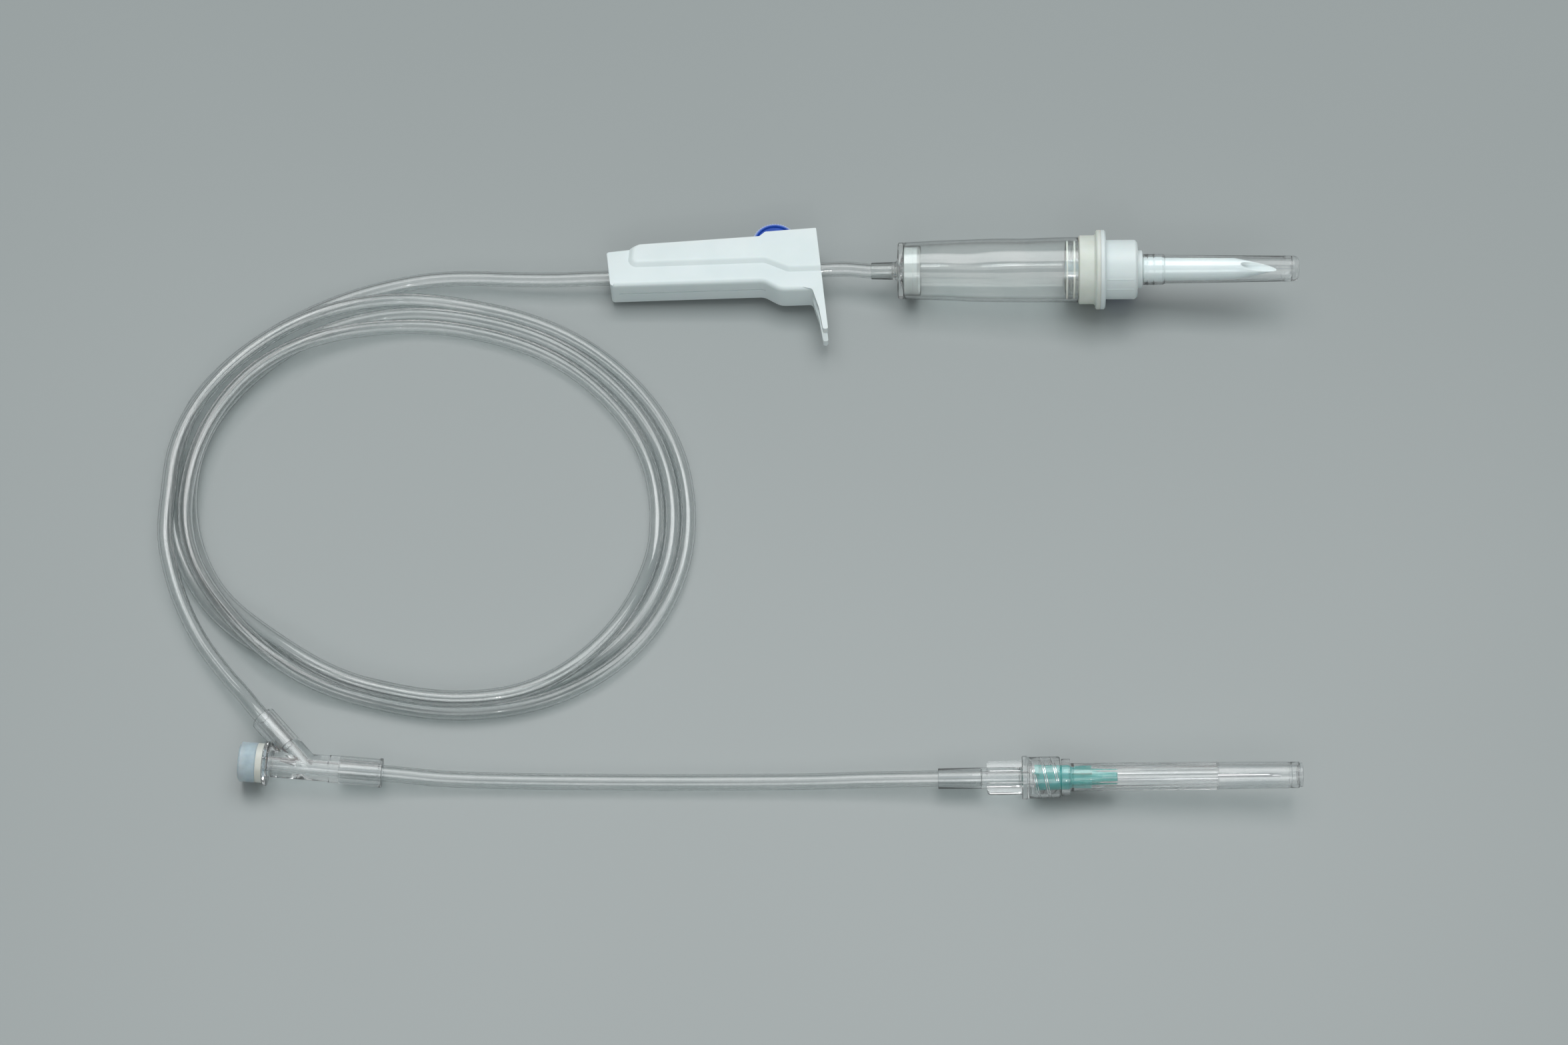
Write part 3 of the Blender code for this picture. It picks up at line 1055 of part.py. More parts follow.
def smooth_points(points):
    """Read points at an even spacing from a smooth curve through the given points."""
    ends = [2 * points[0] - points[1], *points, 2 * points[-1] - points[-2]]
    fine = []
    for p0, p1, p2, p3 in zip(ends, ends[1:], ends[2:], ends[3:]):
        first = (p2 - p0) * (p2 - p1).length / ((p2 - p1).length + (p1 - p0).length)
        last = (p3 - p1) * (p2 - p1).length / ((p3 - p2).length + (p2 - p1).length)
        for step in range(20):
            t = step / 20
            fine.append((2 * t**3 - 3 * t**2 + 1) * p1 + (t**3 - 2 * t**2 + t) * first
                        + (3 * t**2 - 2 * t**3) * p2 + (t**3 - t**2) * last)
    fine.append(points[-1])
    total = sum((after - before).length for before, after in zip(fine, fine[1:]))
    count = max(2, round(total / TUBE_POINT_SPACING))
    spaced = [fine[0]]
    travelled = 0.0
    for before, after in zip(fine, fine[1:]):
        travelled += (after - before).length
        if travelled >= total * len(spaced) / count - WELD_DISTANCE:
            spaced.append(after)
    return spaced


def build_tube(name, points, material, parent):
    curve = bpy.data.curves.new(name, "CURVE")
    curve.dimensions = "3D"
    curve.bevel_depth = TUBE_RADIUS
    curve.bevel_resolution = 2
    curve.use_fill_caps = True
    spline = curve.splines.new("POLY")
    spaced = smooth_points([Vector(point) for point in points])
    spline.points.add(len(spaced) - 1)
    for spline_point, place in zip(spline.points, spaced):
        spline_point.co = (*place, 1.0)
    curve.materials.append(material)
    tube = bpy.data.objects.new(name, curve)
    tube.parent = parent
    bpy.context.scene.collection.objects.link(tube)
    return tube


def on_axis(frame, distances):
    """Points on a frame's X axis, in the frame of the whole set."""
    matrix = frame.matrix_basis
    return [matrix @ Vector((distance, 0.0, 0.0)) for distance in distances]


def build_coil(material, parent):
    """Outer shape of the coiled turns: a ring, flattened a little along Y."""
    inner = COIL_OUTER_RADIUS - COIL_WIDTH
    radius = TUBE_RADIUS
    corners = [
        (inner, 0.0, radius),
        (COIL_OUTER_RADIUS, 0.0, radius),
        (COIL_OUTER_RADIUS, COIL_HEIGHT, radius),
        (inner, COIL_HEIGHT, radius),
    ]
    section = rounded_outline(corners, steps=2)
    bm = bmesh.new()
    verts = [bm.verts.new((point[0], 0.0, point[1])) for point in section]
    edges = [bm.edges.new((verts[index - 1], verts[index])) for index in range(len(verts))]
    bmesh.ops.spin(bm, geom=verts + edges, axis=(0, 0, 1), cent=(0, 0, 0),
                   angle=math.tau, steps=COIL_STEPS, use_merge=True)
    bmesh.ops.scale(bm, vec=(1.0, COIL_FLATTENING, 1.0), verts=bm.verts)
    return finish_mesh("tube_coil", bm, material, parent, (*COIL_CENTRE, 0.0))


def mm_points(rows):
    return [Vector(row) * MM for row in rows]


def centre_hardware(root, pieces):
    """Move the whole set so that its hard pieces are centred on the origin."""
    bpy.context.view_layer.update()
    depsgraph = bpy.context.evaluated_depsgraph_get()
    corners = []
    for piece in pieces:
        mesh = piece.evaluated_get(depsgraph).data
        corners += [piece.matrix_world @ vert.co for vert in mesh.vertices]
    middle_x = (min(corner.x for corner in corners) + max(corner.x for corner in corners)) / 2
    middle_y = (min(corner.y for corner in corners) + max(corner.y for corner in corners)) / 2
    root.location.x = -middle_x
    root.location.y = -middle_y


def build_set():
    clear_scene()
    white = make_material("white_abs", (0.80, 0.85, 0.85), 0.35)
    cream = make_material("cream_pe", (0.72, 0.73, 0.64), 0.42)
    clear_soft = make_material("clear_pvc", (0.82, 0.87, 0.87), 0.08, alpha=0.35)
    clear_rigid = make_material("clear_rigid", (0.84, 0.89, 0.90), 0.06, alpha=0.35)
    filter_white = make_material("filter_white", (0.88, 0.89, 0.87), 0.70)
    nozzle_white = make_material("nozzle_white", (0.78, 0.82, 0.82), 0.30)
    vent_blue = make_material("vent_blue", (0.03, 0.10, 0.55), 0.35)
    roller_blue = make_material("roller_blue", (0.05, 0.14, 0.62), 0.35)
    rubber = make_material("port_rubber", (0.42, 0.52, 0.57), 0.50)
    teal = make_material("hub_teal", (0.10, 0.46, 0.42), 0.25)
    steel = make_material("steel", (0.62, 0.63, 0.64), 0.22, metallic=1.0)

    root = bpy.data.objects.new("infusion_set", None)
    bpy.context.scene.collection.objects.link(root)
    chamber_frame = add_frame("chamber_frame", CHAMBER_FLANGE_SPOT, CHAMBER_HEIGHT,
                              CHAMBER_HEADING, CHAMBER_LIFT, root)
    y_frame = add_frame("y_frame", Y_FLANGE_SPOT, Y_HEIGHT, Y_HEADING, -Y_DROOP, root)
    luer_frame = add_frame("luer_frame", LUER_FLANGE_SPOT, LUER_HEIGHT, LUER_HEADING, LUER_LIFT, root)

    outlet_seat, outlet_mouth = on_axis(chamber_frame, (OUTLET_SEAT - SEAT_GAP, OUTLET_MOUTH))
    clamp_mouth = Vector((*CLAMP_SPOT, CLAMP_MOUTH_HEIGHT))
    run = outlet_mouth - clamp_mouth
    clamp_heading = math.atan2(run.y, run.x)
    clamp_lift = math.atan2(run.z, math.hypot(run.x, run.y))
    clamp_frame = add_frame("clamp_frame", CLAMP_SPOT, CLAMP_MOUTH_HEIGHT, clamp_heading, clamp_lift, root)

    pieces = [
        build_chamber_base(clear_soft, chamber_frame),
        build_fluid_filter(filter_white, chamber_frame),
        build_chamber(clear_soft, chamber_frame),
        build_chamber_cap(cream, chamber_frame),
        build_drip_tip(nozzle_white, chamber_frame),
        build_spike(white, chamber_frame),
        build_vent_filter(filter_white, chamber_frame),
        build_vent_cap(vent_blue, chamber_frame),
        build_spike_cap(clear_rigid, chamber_frame),
        build_clamp_housing(white, clamp_frame),
        build_roller(roller_blue, clamp_frame),
        build_y_body(clear_rigid, y_frame),
        build_port_cap(rubber, y_frame),
        build_luer_connector(clear_rigid, luer_frame),
        build_needle_hub(teal, luer_frame),
        build_cannula(steel, luer_frame),
        build_needle_cap(clear_rigid, luer_frame),
    ]

    clamp_length = run.length
    upper_route = [
        outlet_seat,
        outlet_mouth,
        *on_axis(clamp_frame, (clamp_length - SOCKET_STRAIGHT, CLAMP_LENGTH + 2.0 * MM, CLAMP_LENGTH / 2,
                               0.0, -CLAMP_STRAIGHT, -2 * CLAMP_STRAIGHT)),
        *mm_points(COIL_LEAD_IN),
    ]
    build_tube("upper_tube", upper_route, clear_soft, root)
    build_coil(clear_soft, root)

    arm_inner = Y_ARM_LENGTH - TUBE_SOCKET_DEPTH + SEAT_GAP
    arm_route = [y_frame.matrix_basis @ arm_point(distance)
                 for distance in (Y_ARM_LENGTH + SOCKET_STRAIGHT, Y_ARM_LENGTH,
                                  Y_ARM_LENGTH - SOCKET_MIDDLE, arm_inner)]
    build_tube("tube_to_y_site", [*mm_points(COIL_LEAD_OUT), *arm_route], clear_soft, root)

    sleeve_inner = Y_SLEEVE_END - TUBE_SOCKET_DEPTH + SEAT_GAP
    lower_route = [
        *on_axis(y_frame, (sleeve_inner, Y_SLEEVE_END - SOCKET_MIDDLE, Y_SLEEVE_END,
                           Y_SLEEVE_END + SOCKET_STRAIGHT)),
        *mm_points(LOWER_RUN),
        *on_axis(luer_frame, (LUER_SOCKET_MOUTH - SOCKET_STRAIGHT, LUER_SOCKET_MOUTH,
                              LUER_SOCKET_MOUTH + SOCKET_MIDDLE, LUER_SOCKET_SEAT - SEAT_GAP)),
    ]
    build_tube("lower_tube", lower_route, clear_soft, root)
    centre_hardware(root, pieces)


build_set()
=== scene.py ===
import math
import bmesh
import bpy
from mathutils import Matrix, Vector


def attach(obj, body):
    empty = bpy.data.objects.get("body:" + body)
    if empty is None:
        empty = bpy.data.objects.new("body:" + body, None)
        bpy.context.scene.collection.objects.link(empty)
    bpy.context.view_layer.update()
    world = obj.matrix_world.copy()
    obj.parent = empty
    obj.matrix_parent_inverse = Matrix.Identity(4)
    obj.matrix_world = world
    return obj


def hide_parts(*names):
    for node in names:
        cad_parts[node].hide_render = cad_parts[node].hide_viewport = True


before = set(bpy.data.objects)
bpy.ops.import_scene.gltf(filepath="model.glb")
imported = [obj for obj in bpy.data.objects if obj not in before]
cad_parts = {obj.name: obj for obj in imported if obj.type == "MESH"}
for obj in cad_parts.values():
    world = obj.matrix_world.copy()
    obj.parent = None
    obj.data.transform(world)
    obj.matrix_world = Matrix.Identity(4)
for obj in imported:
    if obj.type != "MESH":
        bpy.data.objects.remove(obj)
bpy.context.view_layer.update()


# Camera: a long lens in front of the set, looking down on it at 57.5 degrees, so
# that the coil and both rows of fittings lie across the whole picture.
MM = 0.001
LOOK_AT = Vector((-1.733, -3.677, 0.0)) * MM
CAMERA_ELEVATION = math.radians(57.5)
CAMERA_DISTANCE = 820.0 * MM

camera_data = bpy.data.cameras.new("camera")
camera_data.sensor_width = 36.0
camera_data.lens = 76.53
camera_data.clip_end = 60.0
camera = bpy.data.objects.new("camera", camera_data)
from_set = Vector((0.0, -math.cos(CAMERA_ELEVATION), math.sin(CAMERA_ELEVATION)))
camera.location = LOOK_AT + from_set * CAMERA_DISTANCE
camera.rotation_euler = (-from_set).to_track_quat("-Z", "Y").to_euler()
bpy.context.collection.objects.link(camera)
bpy.context.scene.camera = camera
bpy.context.scene.view_settings.view_transform = "Standard"


# Light: a wide softbox hangs over the back of the table and gives the long soft
# highlights on the clear parts. A weaker one lights the near sides, a small lamp
# adds the tiny glints, and the room's grey, brighter overhead, fills the shadows.
def add_node(tree, kind, sockets=(), **options):
    """Add a shader node; a socket takes a value or another node's output."""
    made = tree.nodes.new(kind)
    for option, value in options.items():
        setattr(made, option, value)
    for socket, value in dict(sockets).items():
        if isinstance(value, bpy.types.NodeSocket):
            tree.links.new(value, made.inputs[socket])
        else:
            made.inputs[socket].default_value = value
    return made


def two_tones(tree, source, deep, pale, start=0.0, end=1.0):
    """Colours between two tones, as a value goes from start to end."""
    tone = add_node(tree, "ShaderNodeValToRGB", {"Fac": source})
    tone.color_ramp.elements[0].position = start
    tone.color_ramp.elements[0].color = (*deep, 1.0)
    tone.color_ramp.elements[1].position = end
    tone.color_ramp.elements[1].color = (*pale, 1.0)
    return tone.outputs["Color"]


def mixed_colour(tree, share_of_second, first, second):
    """One colour mixed into another; 0, 6, 7 and 2 are the mix node's sockets for colours."""
    mix = add_node(tree, "ShaderNodeMix", {0: share_of_second, 6: first, 7: second}, data_type="RGBA")
    return mix.outputs[2]


def hang_lamp(name, place, width, depth, watts):
    lamp_data = bpy.data.lights.new(name, "AREA")
    lamp_data.shape = "RECTANGLE"
    lamp_data.size = width
    lamp_data.size_y = depth
    lamp_data.energy = watts
    lamp = bpy.data.objects.new(name, lamp_data)
    lamp.location = place
    lamp.rotation_euler = (LOOK_AT - Vector(place)).to_track_quat("-Z", "Y").to_euler()
    bpy.context.collection.objects.link(lamp)


hang_lamp("softbox", (0.0, 0.37, 1.14), width=1.15, depth=0.85, watts=7.6)
hang_lamp("front_fill", (0.0, -0.95, 0.75), width=1.20, depth=0.45, watts=2.2)
hang_lamp("glint_lamp", (0.05, -0.97, 0.68), width=0.05, depth=0.02, watts=0.50)

room = bpy.data.worlds.new("room")
room.use_nodes = True
room_tree = room.node_tree
room_place = add_node(room_tree, "ShaderNodeTexCoord").outputs["Generated"]
room_height = add_node(room_tree, "ShaderNodeSeparateXYZ", {"Vector": room_place}).outputs["Z"]
room_tone = two_tones(room_tree, room_height, (0.09, 0.095, 0.095), (0.56, 0.58, 0.58))
room_tree.links.new(room_tone, room_tree.nodes["Background"].inputs["Color"])
bpy.context.scene.world = room


# Floor: the plain pale table top that the set lies on, satin and slightly mottled.
# It lies a hair below the set, so that no piece shares its plane.
FLOOR_REACH = 15.0
FLOOR_HEIGHT = -0.03 * MM

floor_shape = bmesh.new()
bmesh.ops.create_grid(floor_shape, x_segments=1, y_segments=1, size=FLOOR_REACH,
                      matrix=Matrix.Translation((0.0, 0.0, FLOOR_HEIGHT)))
floor_mesh = bpy.data.meshes.new("floor")
floor_shape.to_mesh(floor_mesh)
floor_shape.free()
floor = bpy.data.objects.new("floor", floor_mesh)
bpy.context.collection.objects.link(floor)

floor_finish = bpy.data.materials.new("table_top")
floor_finish.use_nodes = True
floor_tree = floor_finish.node_tree
floor_shader = floor_tree.nodes["Principled BSDF"]
floor_shader.inputs["Roughness"].default_value = 0.34
floor_place = add_node(floor_tree, "ShaderNodeTexCoord").outputs["Object"]
floor_cloud = add_node(floor_tree, "ShaderNodeTexNoise",
                       {"Vector": floor_place, "Scale": 5.0, "Detail": 2.0}).outputs[0]
floor_tone = two_tones(floor_tree, floor_cloud, (0.315, 0.350, 0.352), (0.345, 0.382, 0.384))
floor_tree.links.new(floor_tone, floor_shader.inputs["Base Color"])
floor_mesh.materials.append(floor_finish)


# Tubing: clear soft PVC, extruded 3.8 mm across with a 0.5 mm wall. One length runs
# from the chamber's outlet through the clamp into the coil, whose turns lie beside
# and over each other, and on into the Y. It is bonded in its sockets at both ends.
TUBE_RADIUS = 1.9
TUBE_WALL = 0.5
TUBE_STEP = 2.0
CURVE_STEPS = 20
CUT_SHARE = 0.04


def laid(spot, heading, lift):
    """Place of a group made along X in millimetres: its front raised, turned, set on its spot."""
    turn = Matrix.Rotation(math.radians(heading), 4, "Z") @ Matrix.Rotation(-math.radians(lift), 4, "Y")
    return Matrix.Translation(Vector(spot) * MM) @ turn @ Matrix.Scale(MM, 4)


def on_axis(place, distances, aside=0.0):
    return [place @ Vector((distance, aside, 0.0)) for distance in distances]


def even_route(points, spacing):
    """Points at an even spacing on a smooth curve through the given points."""
    ends = [2 * points[0] - points[1], *points, 2 * points[-1] - points[-2]]
    fine = []
    for p0, p1, p2, p3 in zip(ends, ends[1:], ends[2:], ends[3:]):
        first = (p2 - p0) * (p2 - p1).length / ((p2 - p1).length + (p1 - p0).length)
        last = (p3 - p1) * (p2 - p1).length / ((p3 - p2).length + (p2 - p1).length)
        for step in range(CURVE_STEPS):
            t = step / CURVE_STEPS
            fine.append((2 * t**3 - 3 * t**2 + 1) * p1 + (t**3 - 2 * t**2 + t) * first
                        + (3 * t**2 - 2 * t**3) * p2 + (t**3 - t**2) * last)
    fine.append(points[-1])
    total = sum((after - before).length for before, after in zip(fine, fine[1:]))
    count = round(total / spacing)
    even = [fine[0]]
    travelled = 0.0
    for before, after in zip(fine, fine[1:]):
        travelled += (after - before).length
        if travelled >= total * len(even) / count - 1e-9:
            even.append(after)
    return even


def share(angle, start, end):
    """Smooth part of the way from one angle of the coil to another, from 0 to 1."""
    t = min(1.0, max(0.0, (angle - start) / (end - start)))
    return t * t * (3.0 - 2.0 * t)


def rolled(about, turn):
    """A strand that lies against another one, turned about it by so many degrees."""
    towards = Vector((math.cos(math.radians(turn)), math.sin(math.radians(turn))))
    return Vector(about) + 2 * TUBE_RADIUS * towards


COIL_CENTRE = (-88.933, 0.323)
COIL_REACH = (65.8, 61.52)
COIL_BULGE = (-0.4, -1.25, -1.5, -0.6, 0.5, 2.7, 3.5, 3.1, 1.9,
              -0.3, -1.7, -3.1, -4.0, -3.4, -0.2, 2.8, 3.4, 1.6)
BULGE_STEP = 20.0
INNER_LANE = 5.7
COIL_START = 134
COIL_END = 1262
COIL_STEP = 6


def bulge(angle):
    """How far the whole bundle is pushed out of its oval, from a value at every 20 degrees."""
    index, t = divmod(angle / BULGE_STEP, 1.0)
    p0, p1, p2, p3 = [COIL_BULGE[(int(index) + step) % len(COIL_BULGE)] for step in (-1, 0, 1, 2)]
    square = 2 * p0 - 5 * p1 + 4 * p2 - p3
    cube = 3 * p1 - 3 * p2 + p3 - p0
    return p1 + t * ((p2 - p0) + t * (square + t * cube)) / 2


def bottom_strand(angle):
    """First pass: comes in under the last one, then holds the middle of the three lanes."""
    inward = 2.3 * share(angle, 148.0, 174.0)
    inward += 0.9 * share(angle, 180.0, 205.0)
    inward += 2.7 * share(angle, 205.0, 262.0)
    return Vector((inward - 0.2, TUBE_RADIUS))


def strand(angle):
    """Distance inward from the bundle's outer edge, and height, at an angle that counts the turns."""
    if angle < 450.0:
        return bottom_strand(angle)
    if angle < 565.0:
        inset = INNER_LANE + 0.7 * share(angle, 470.0, 500.0) + 0.4 * share(angle, 540.0, 560.0)
        return Vector((inset, TUBE_RADIUS))
    if angle < 640.0:
        return rolled(bottom_strand(angle - 360.0), 120.0 * share(angle, 565.0, 622.0))
    if angle < 810.0:
        return rolled((INNER_LANE, TUBE_RADIUS), 120.0 * (1.0 - share(angle, 645.0, 710.0)))
    if angle < 925.0:
        lean = 75.0 * share(angle, 814.0, 862.0) + 45.0 * share(angle, 878.0, 925.0)
        return rolled(strand(angle - 360.0), lean)
    if angle < 1150.0:
        return rolled(bottom_strand(angle - 720.0), 60.0 + 120.0 * share(angle, 925.0, 982.0))
    rise = math.radians(57.0 * share(angle, 1160.0, 1212.0) + 31.0 * share(angle, 1225.0, 1250.0))
    return Vector((TUBE_RADIUS, TUBE_RADIUS + 2 * TUBE_RADIUS * math.sin(rise)))


def coil_point(angle):
    inset, height = strand(angle)
    turn = math.radians(angle)
    reach = bulge(angle) - inset
    return Vector((COIL_CENTRE[0] + (COIL_REACH[0] + reach) * math.cos(turn),
                   COIL_CENTRE[1] + (COIL_REACH[1] + reach) * math.sin(turn), height)) * MM


def tubing(name, route, rings):
    """Hollow tube along a route, swept as a curve and then given its wall.

    A short step at each end keeps the shading of the cut ends crisp.
    """
    near_start = route[0].lerp(route[1], CUT_SHARE)
    near_end = route[-1].lerp(route[-2], CUT_SHARE)
    route = [route[0], near_start, *route[1:-1], near_end, route[-1]]
    line = bpy.data.curves.new(name, "CURVE")
    line.dimensions = "3D"
    line.bevel_depth = TUBE_RADIUS * MM
    line.bevel_resolution = rings
    spline = line.splines.new("POLY")
    spline.points.add(len(route) - 1)
    for spline_point, place in zip(spline.points, route):
        spline_point.co = (*place, 1.0)
    guide = bpy.data.objects.new(name + "_line", line)
    bpy.context.collection.objects.link(guide)
    bpy.context.view_layer.update()
    mesh = bpy.data.meshes.new_from_object(guide.evaluated_get(bpy.context.evaluated_depsgraph_get()))
    bpy.data.objects.remove(guide)
    bpy.data.curves.remove(line)
    mesh.name = name
    mesh.materials.clear()
    mesh.shade_smooth()
    piece = bpy.data.objects.new(name, mesh)
    bpy.context.collection.objects.link(piece)
    wall = piece.modifiers.new("wall", "SOLIDIFY")
    wall.thickness = TUBE_WALL * MM
    wall.offset = -1.0
    return piece


def plastic(name, deep, pale, patch, roughness, grain, relief, **finish):
    """Moulded plastic: patches between two tones, uneven gloss, and a fine grain in relief."""
    material = bpy.data.materials.new(name)
    material.use_nodes = True
    tree = material.node_tree
    shader = tree.nodes["Principled BSDF"]
    for socket, value in finish.items():
        shader.inputs[socket.replace("_", " ")].default_value = value
    place = add_node(tree, "ShaderNodeTexCoord").outputs["Object"]
    patches = add_node(tree, "ShaderNodeTexNoise",
                       {"Vector": place, "Scale": 1.0 / (patch * MM), "Detail": 3.0}).outputs[0]
    tree.links.new(two_tones(tree, patches, deep, pale, 0.32, 0.68), shader.inputs["Base Color"])
    fine = add_node(tree, "ShaderNodeTexNoise",
                    {"Vector": place, "Scale": 1.0 / (grain * MM), "Detail": 4.0}).outputs[0]
    gloss = add_node(tree, "ShaderNodeMapRange", {"Value": fine, "From Min": 0.3, "From Max": 0.7,
                                                 "To Min": roughness[0], "To Max": roughness[1]})
    tree.links.new(gloss.outputs["Result"], shader.inputs["Roughness"])
    uneven = add_node(tree, "ShaderNodeMath", {0: patches, 1: fine}, operation="ADD").outputs[0]
    bump = add_node(tree, "ShaderNodeBump", {"Height": uneven, "Strength": 0.6, "Distance": relief * MM})
    tree.links.new(bump.outputs["Normal"], shader.inputs["Normal"])
    return material


def make_clear(material, shade, edge, painted_shade_start):
    """Mix painted shade into the wall's colour where it turns away from the eye, and let the shadow stay
    light.
    """
    tree = material.node_tree
    shader = tree.nodes["Principled BSDF"]
    colour = shader.inputs["Base Color"]
    facing = add_node(tree, "ShaderNodeLayerWeight", {"Blend": 0.5}).outputs["Facing"]
    away = add_node(tree, "ShaderNodeMapRange", {"Value": facing, "From Min": painted_shade_start, "From Max": 1.0})
    away.interpolation_type = "SMOOTHSTEP"
    # The edge colour is painted shade: the wall's colour goes dark towards its outline as the eye sees it.
    painted_edge_shade = mixed_colour(tree, away.outputs["Result"], colour.links[0].from_socket, (*edge, 1.0))
    tree.links.new(painted_edge_shade, colour)
    thin = add_node(tree, "ShaderNodeBsdfTransparent", {"Color": (*shade, 1.0)})
    is_shadow = add_node(tree, "ShaderNodeLightPath").outputs["Is Shadow Ray"]
    either = add_node(tree, "ShaderNodeMixShader",
                      {0: is_shadow, 1: shader.outputs["BSDF"], 2: thin.outputs["BSDF"]})
    tree.links.new(either.outputs["Shader"], tree.nodes["Material Output"].inputs["Surface"])


tube_pvc = plastic("tube_pvc", (0.93, 0.945, 0.945), (0.97, 0.975, 0.975), patch=14.0,
                   roughness=(0.02, 0.05), grain=2.5, relief=0.0012, Transmission_Weight=1.0, IOR=1.53)
# The edge colour here is painted shade along the tube's outline.
make_clear(tube_pvc, shade=(0.72, 0.74, 0.74), edge=(0.05, 0.055, 0.055), painted_shade_start=0.50)

# The chamber lies on its flange and its base ring: 2.85 mm apart in radius, 51.45 mm along.
CHAMBER_LIFT = math.degrees(math.asin(2.85 / 51.45))
OUTLET_MOUTH = -58.25
chamber_place = laid((78.767, 66.223, 10.154), heading=-1.94, lift=CHAMBER_LIFT)
outlet_mouth = chamber_place @ Vector((OUTLET_MOUTH, 0.0, 0.0))
clamp_mouth = Vector((-47.133, 66.943, 4.9)) * MM
clamp_run = outlet_mouth - clamp_mouth
clamp_place = laid(clamp_mouth / MM, math.degrees(math.atan2(clamp_run.y, clamp_run.x)),
                   math.degrees(math.asin(clamp_run.z / clamp_run.length)))
y_place = laid((-122.533, -73.727, 5.265), heading=-3.7, lift=-3.2)

Y_ARM_LENGTH = 16.7
Y_ARM_ANGLE = math.radians(45.0)
Y_ARM_FOOT = 9.4


def arm_point(distance):
    """A point on the axis of the Y's slanted arm, measured from the straight body's axis."""
    return Vector((Y_ARM_FOOT - distance * math.cos(Y_ARM_ANGLE), distance * math.sin(Y_ARM_ANGLE), 0.0))


lead_in = [
    (-71.733, 67.6, 4.1),
    (-82.933, 68.3, 3.6),
    (-92.233, 68.1, 3.1),
    (-100.933, 66.6, 2.7),
    (-110.533, 63.8, 2.3),
    (-119.733, 59.7, 2.0),
    (-128.833, 54.0, 1.9),
]
lead_out = [
    (-152.5, -10.2, 5.3),
    (-150.1, -20.5, 4.6),
    (-146.2, -30.6, 3.9),
    (-140.8, -40.4, 3.6),
    (-133.8, -49.9, 4.1),
    (-129.9, -54.5, 4.5),
]
main_points = [
    *on_axis(chamber_place, (-53.05, OUTLET_MOUTH)),
    *on_axis(clamp_place, (61.5, 54.0), aside=0.9),
    *on_axis(clamp_place, (29.0, 20.0)),
    *on_axis(clamp_place, (0.0, -7.0, -14.0), aside=0.5),
    *[Vector(row) * MM for row in lead_in],
    *[coil_point(angle) for angle in range(COIL_START, COIL_END, COIL_STEP)],
    *[Vector(row) * MM for row in lead_out],
    *[y_place @ arm_point(distance) for distance in (19.7, 16.7, 11.7, 7.0)],
]
main_route = even_route(main_points, TUBE_STEP * MM)
main_tube = tubing("main_tube", main_route, rings=12)
main_tube.data.materials.append(tube_pvc)
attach(main_tube, "set")
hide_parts("upper_tube", "tube_coil", "tube_to_y_site")


# Last length of the same tubing, from the Y's sleeve to the luer connector. It lies
# along the table in one nearly straight run.
luer_place = laid((54.267, -77.427, 5.126), heading=-0.9, lift=3.0)
last_run = [
    (-81.733, -76.277, 2.5),
    (-63.733, -76.677, 2.05),
    (-29.133, -76.977, 2.0),
    (3.267, -76.977, 2.4),
    (18.267, -76.877, 3.1),
]
last_points = [
    *on_axis(y_place, (17.4, 22.1, 27.1, 30.1)),
    *[Vector(row) * MM for row in last_run],
    *on_axis(luer_place, (-23.08, -20.08, -15.08, -10.23)),
]
last_route = even_route(last_points, TUBE_STEP * MM)
last_tube = tubing("last_tube", last_route, rings=14)
last_tube.data.materials.append(tube_pvc)
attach(last_tube, "set")
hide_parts("lower_tube")


# Chamber base: clear soft PVC end cup, moulded in one with the outlet that the tube
# is bonded into. Its spigot is pressed and bonded into the drip chamber.
ROUND_STEPS = 96
STRAIGHT_HALF_ANGLE = 1.55
MOST_OF_EDGE = 0.45
LEAST_ROUNDING = 0.004
WELD_DISTANCE = 0.001
BEVEL_ANGLE = math.radians(32.0)
SHARP_ANGLE = math.radians(42.0)


def rounded(corners, radius, is_ring=True, steps=3):
    """Round the corners of a profile; a third value on a corner is its own radius."""
    points = []
    for index, corner in enumerate(corners):
        own = corner[2] if len(corner) > 2 else radius
        here = Vector(corner[:2])
        is_end = not is_ring and index in (0, len(corners) - 1)
        before = Vector(corners[index - 1][:2]) - here
        after = Vector(corners[(index + 1) % len(corners)][:2]) - here
        half_angle = before.angle(after) / 2
        reach = own / math.tan(half_angle) if half_angle < STRAIGHT_HALF_ANGLE else 0.0
        reach = min(reach, MOST_OF_EDGE * before.length, MOST_OF_EDGE * after.length)
        if is_end or reach < LEAST_ROUNDING:
            points.append(here)
            continue
        before.normalize()
        after.normalize()
        centre = here + (before + after).normalized() * reach / math.cos(half_angle)
        start = here + before * reach - centre
        end = here + after * reach - centre
        turn = math.atan2(start.cross(end), start.dot(end))
        for step in range(steps + 1):
            points.append(centre + Matrix.Rotation(turn * step / steps, 2) @ start)
    return points


def spun(corners, radius=0.12, is_ring=True, turns=ROUND_STEPS):
    """Turn a profile of (x, radius) corners, with its corners rounded, about the X axis."""
    shape = bmesh.new()
    profile = rounded(corners, radius, is_ring)
    verts = [shape.verts.new((point[0], 0.0, point[1])) for point in profile]
    edges = [shape.edges.new(pair) for pair in zip(verts, verts[1:])]
    if is_ring:
        edges.append(shape.edges.new((verts[-1], verts[0])))
    bmesh.ops.spin(shape, geom=verts + edges, axis=(1, 0, 0), cent=(0, 0, 0),
                   angle=math.tau, steps=turns, use_merge=True)
    bmesh.ops.remove_doubles(shape, verts=shape.verts, dist=WELD_DISTANCE)
    return shape


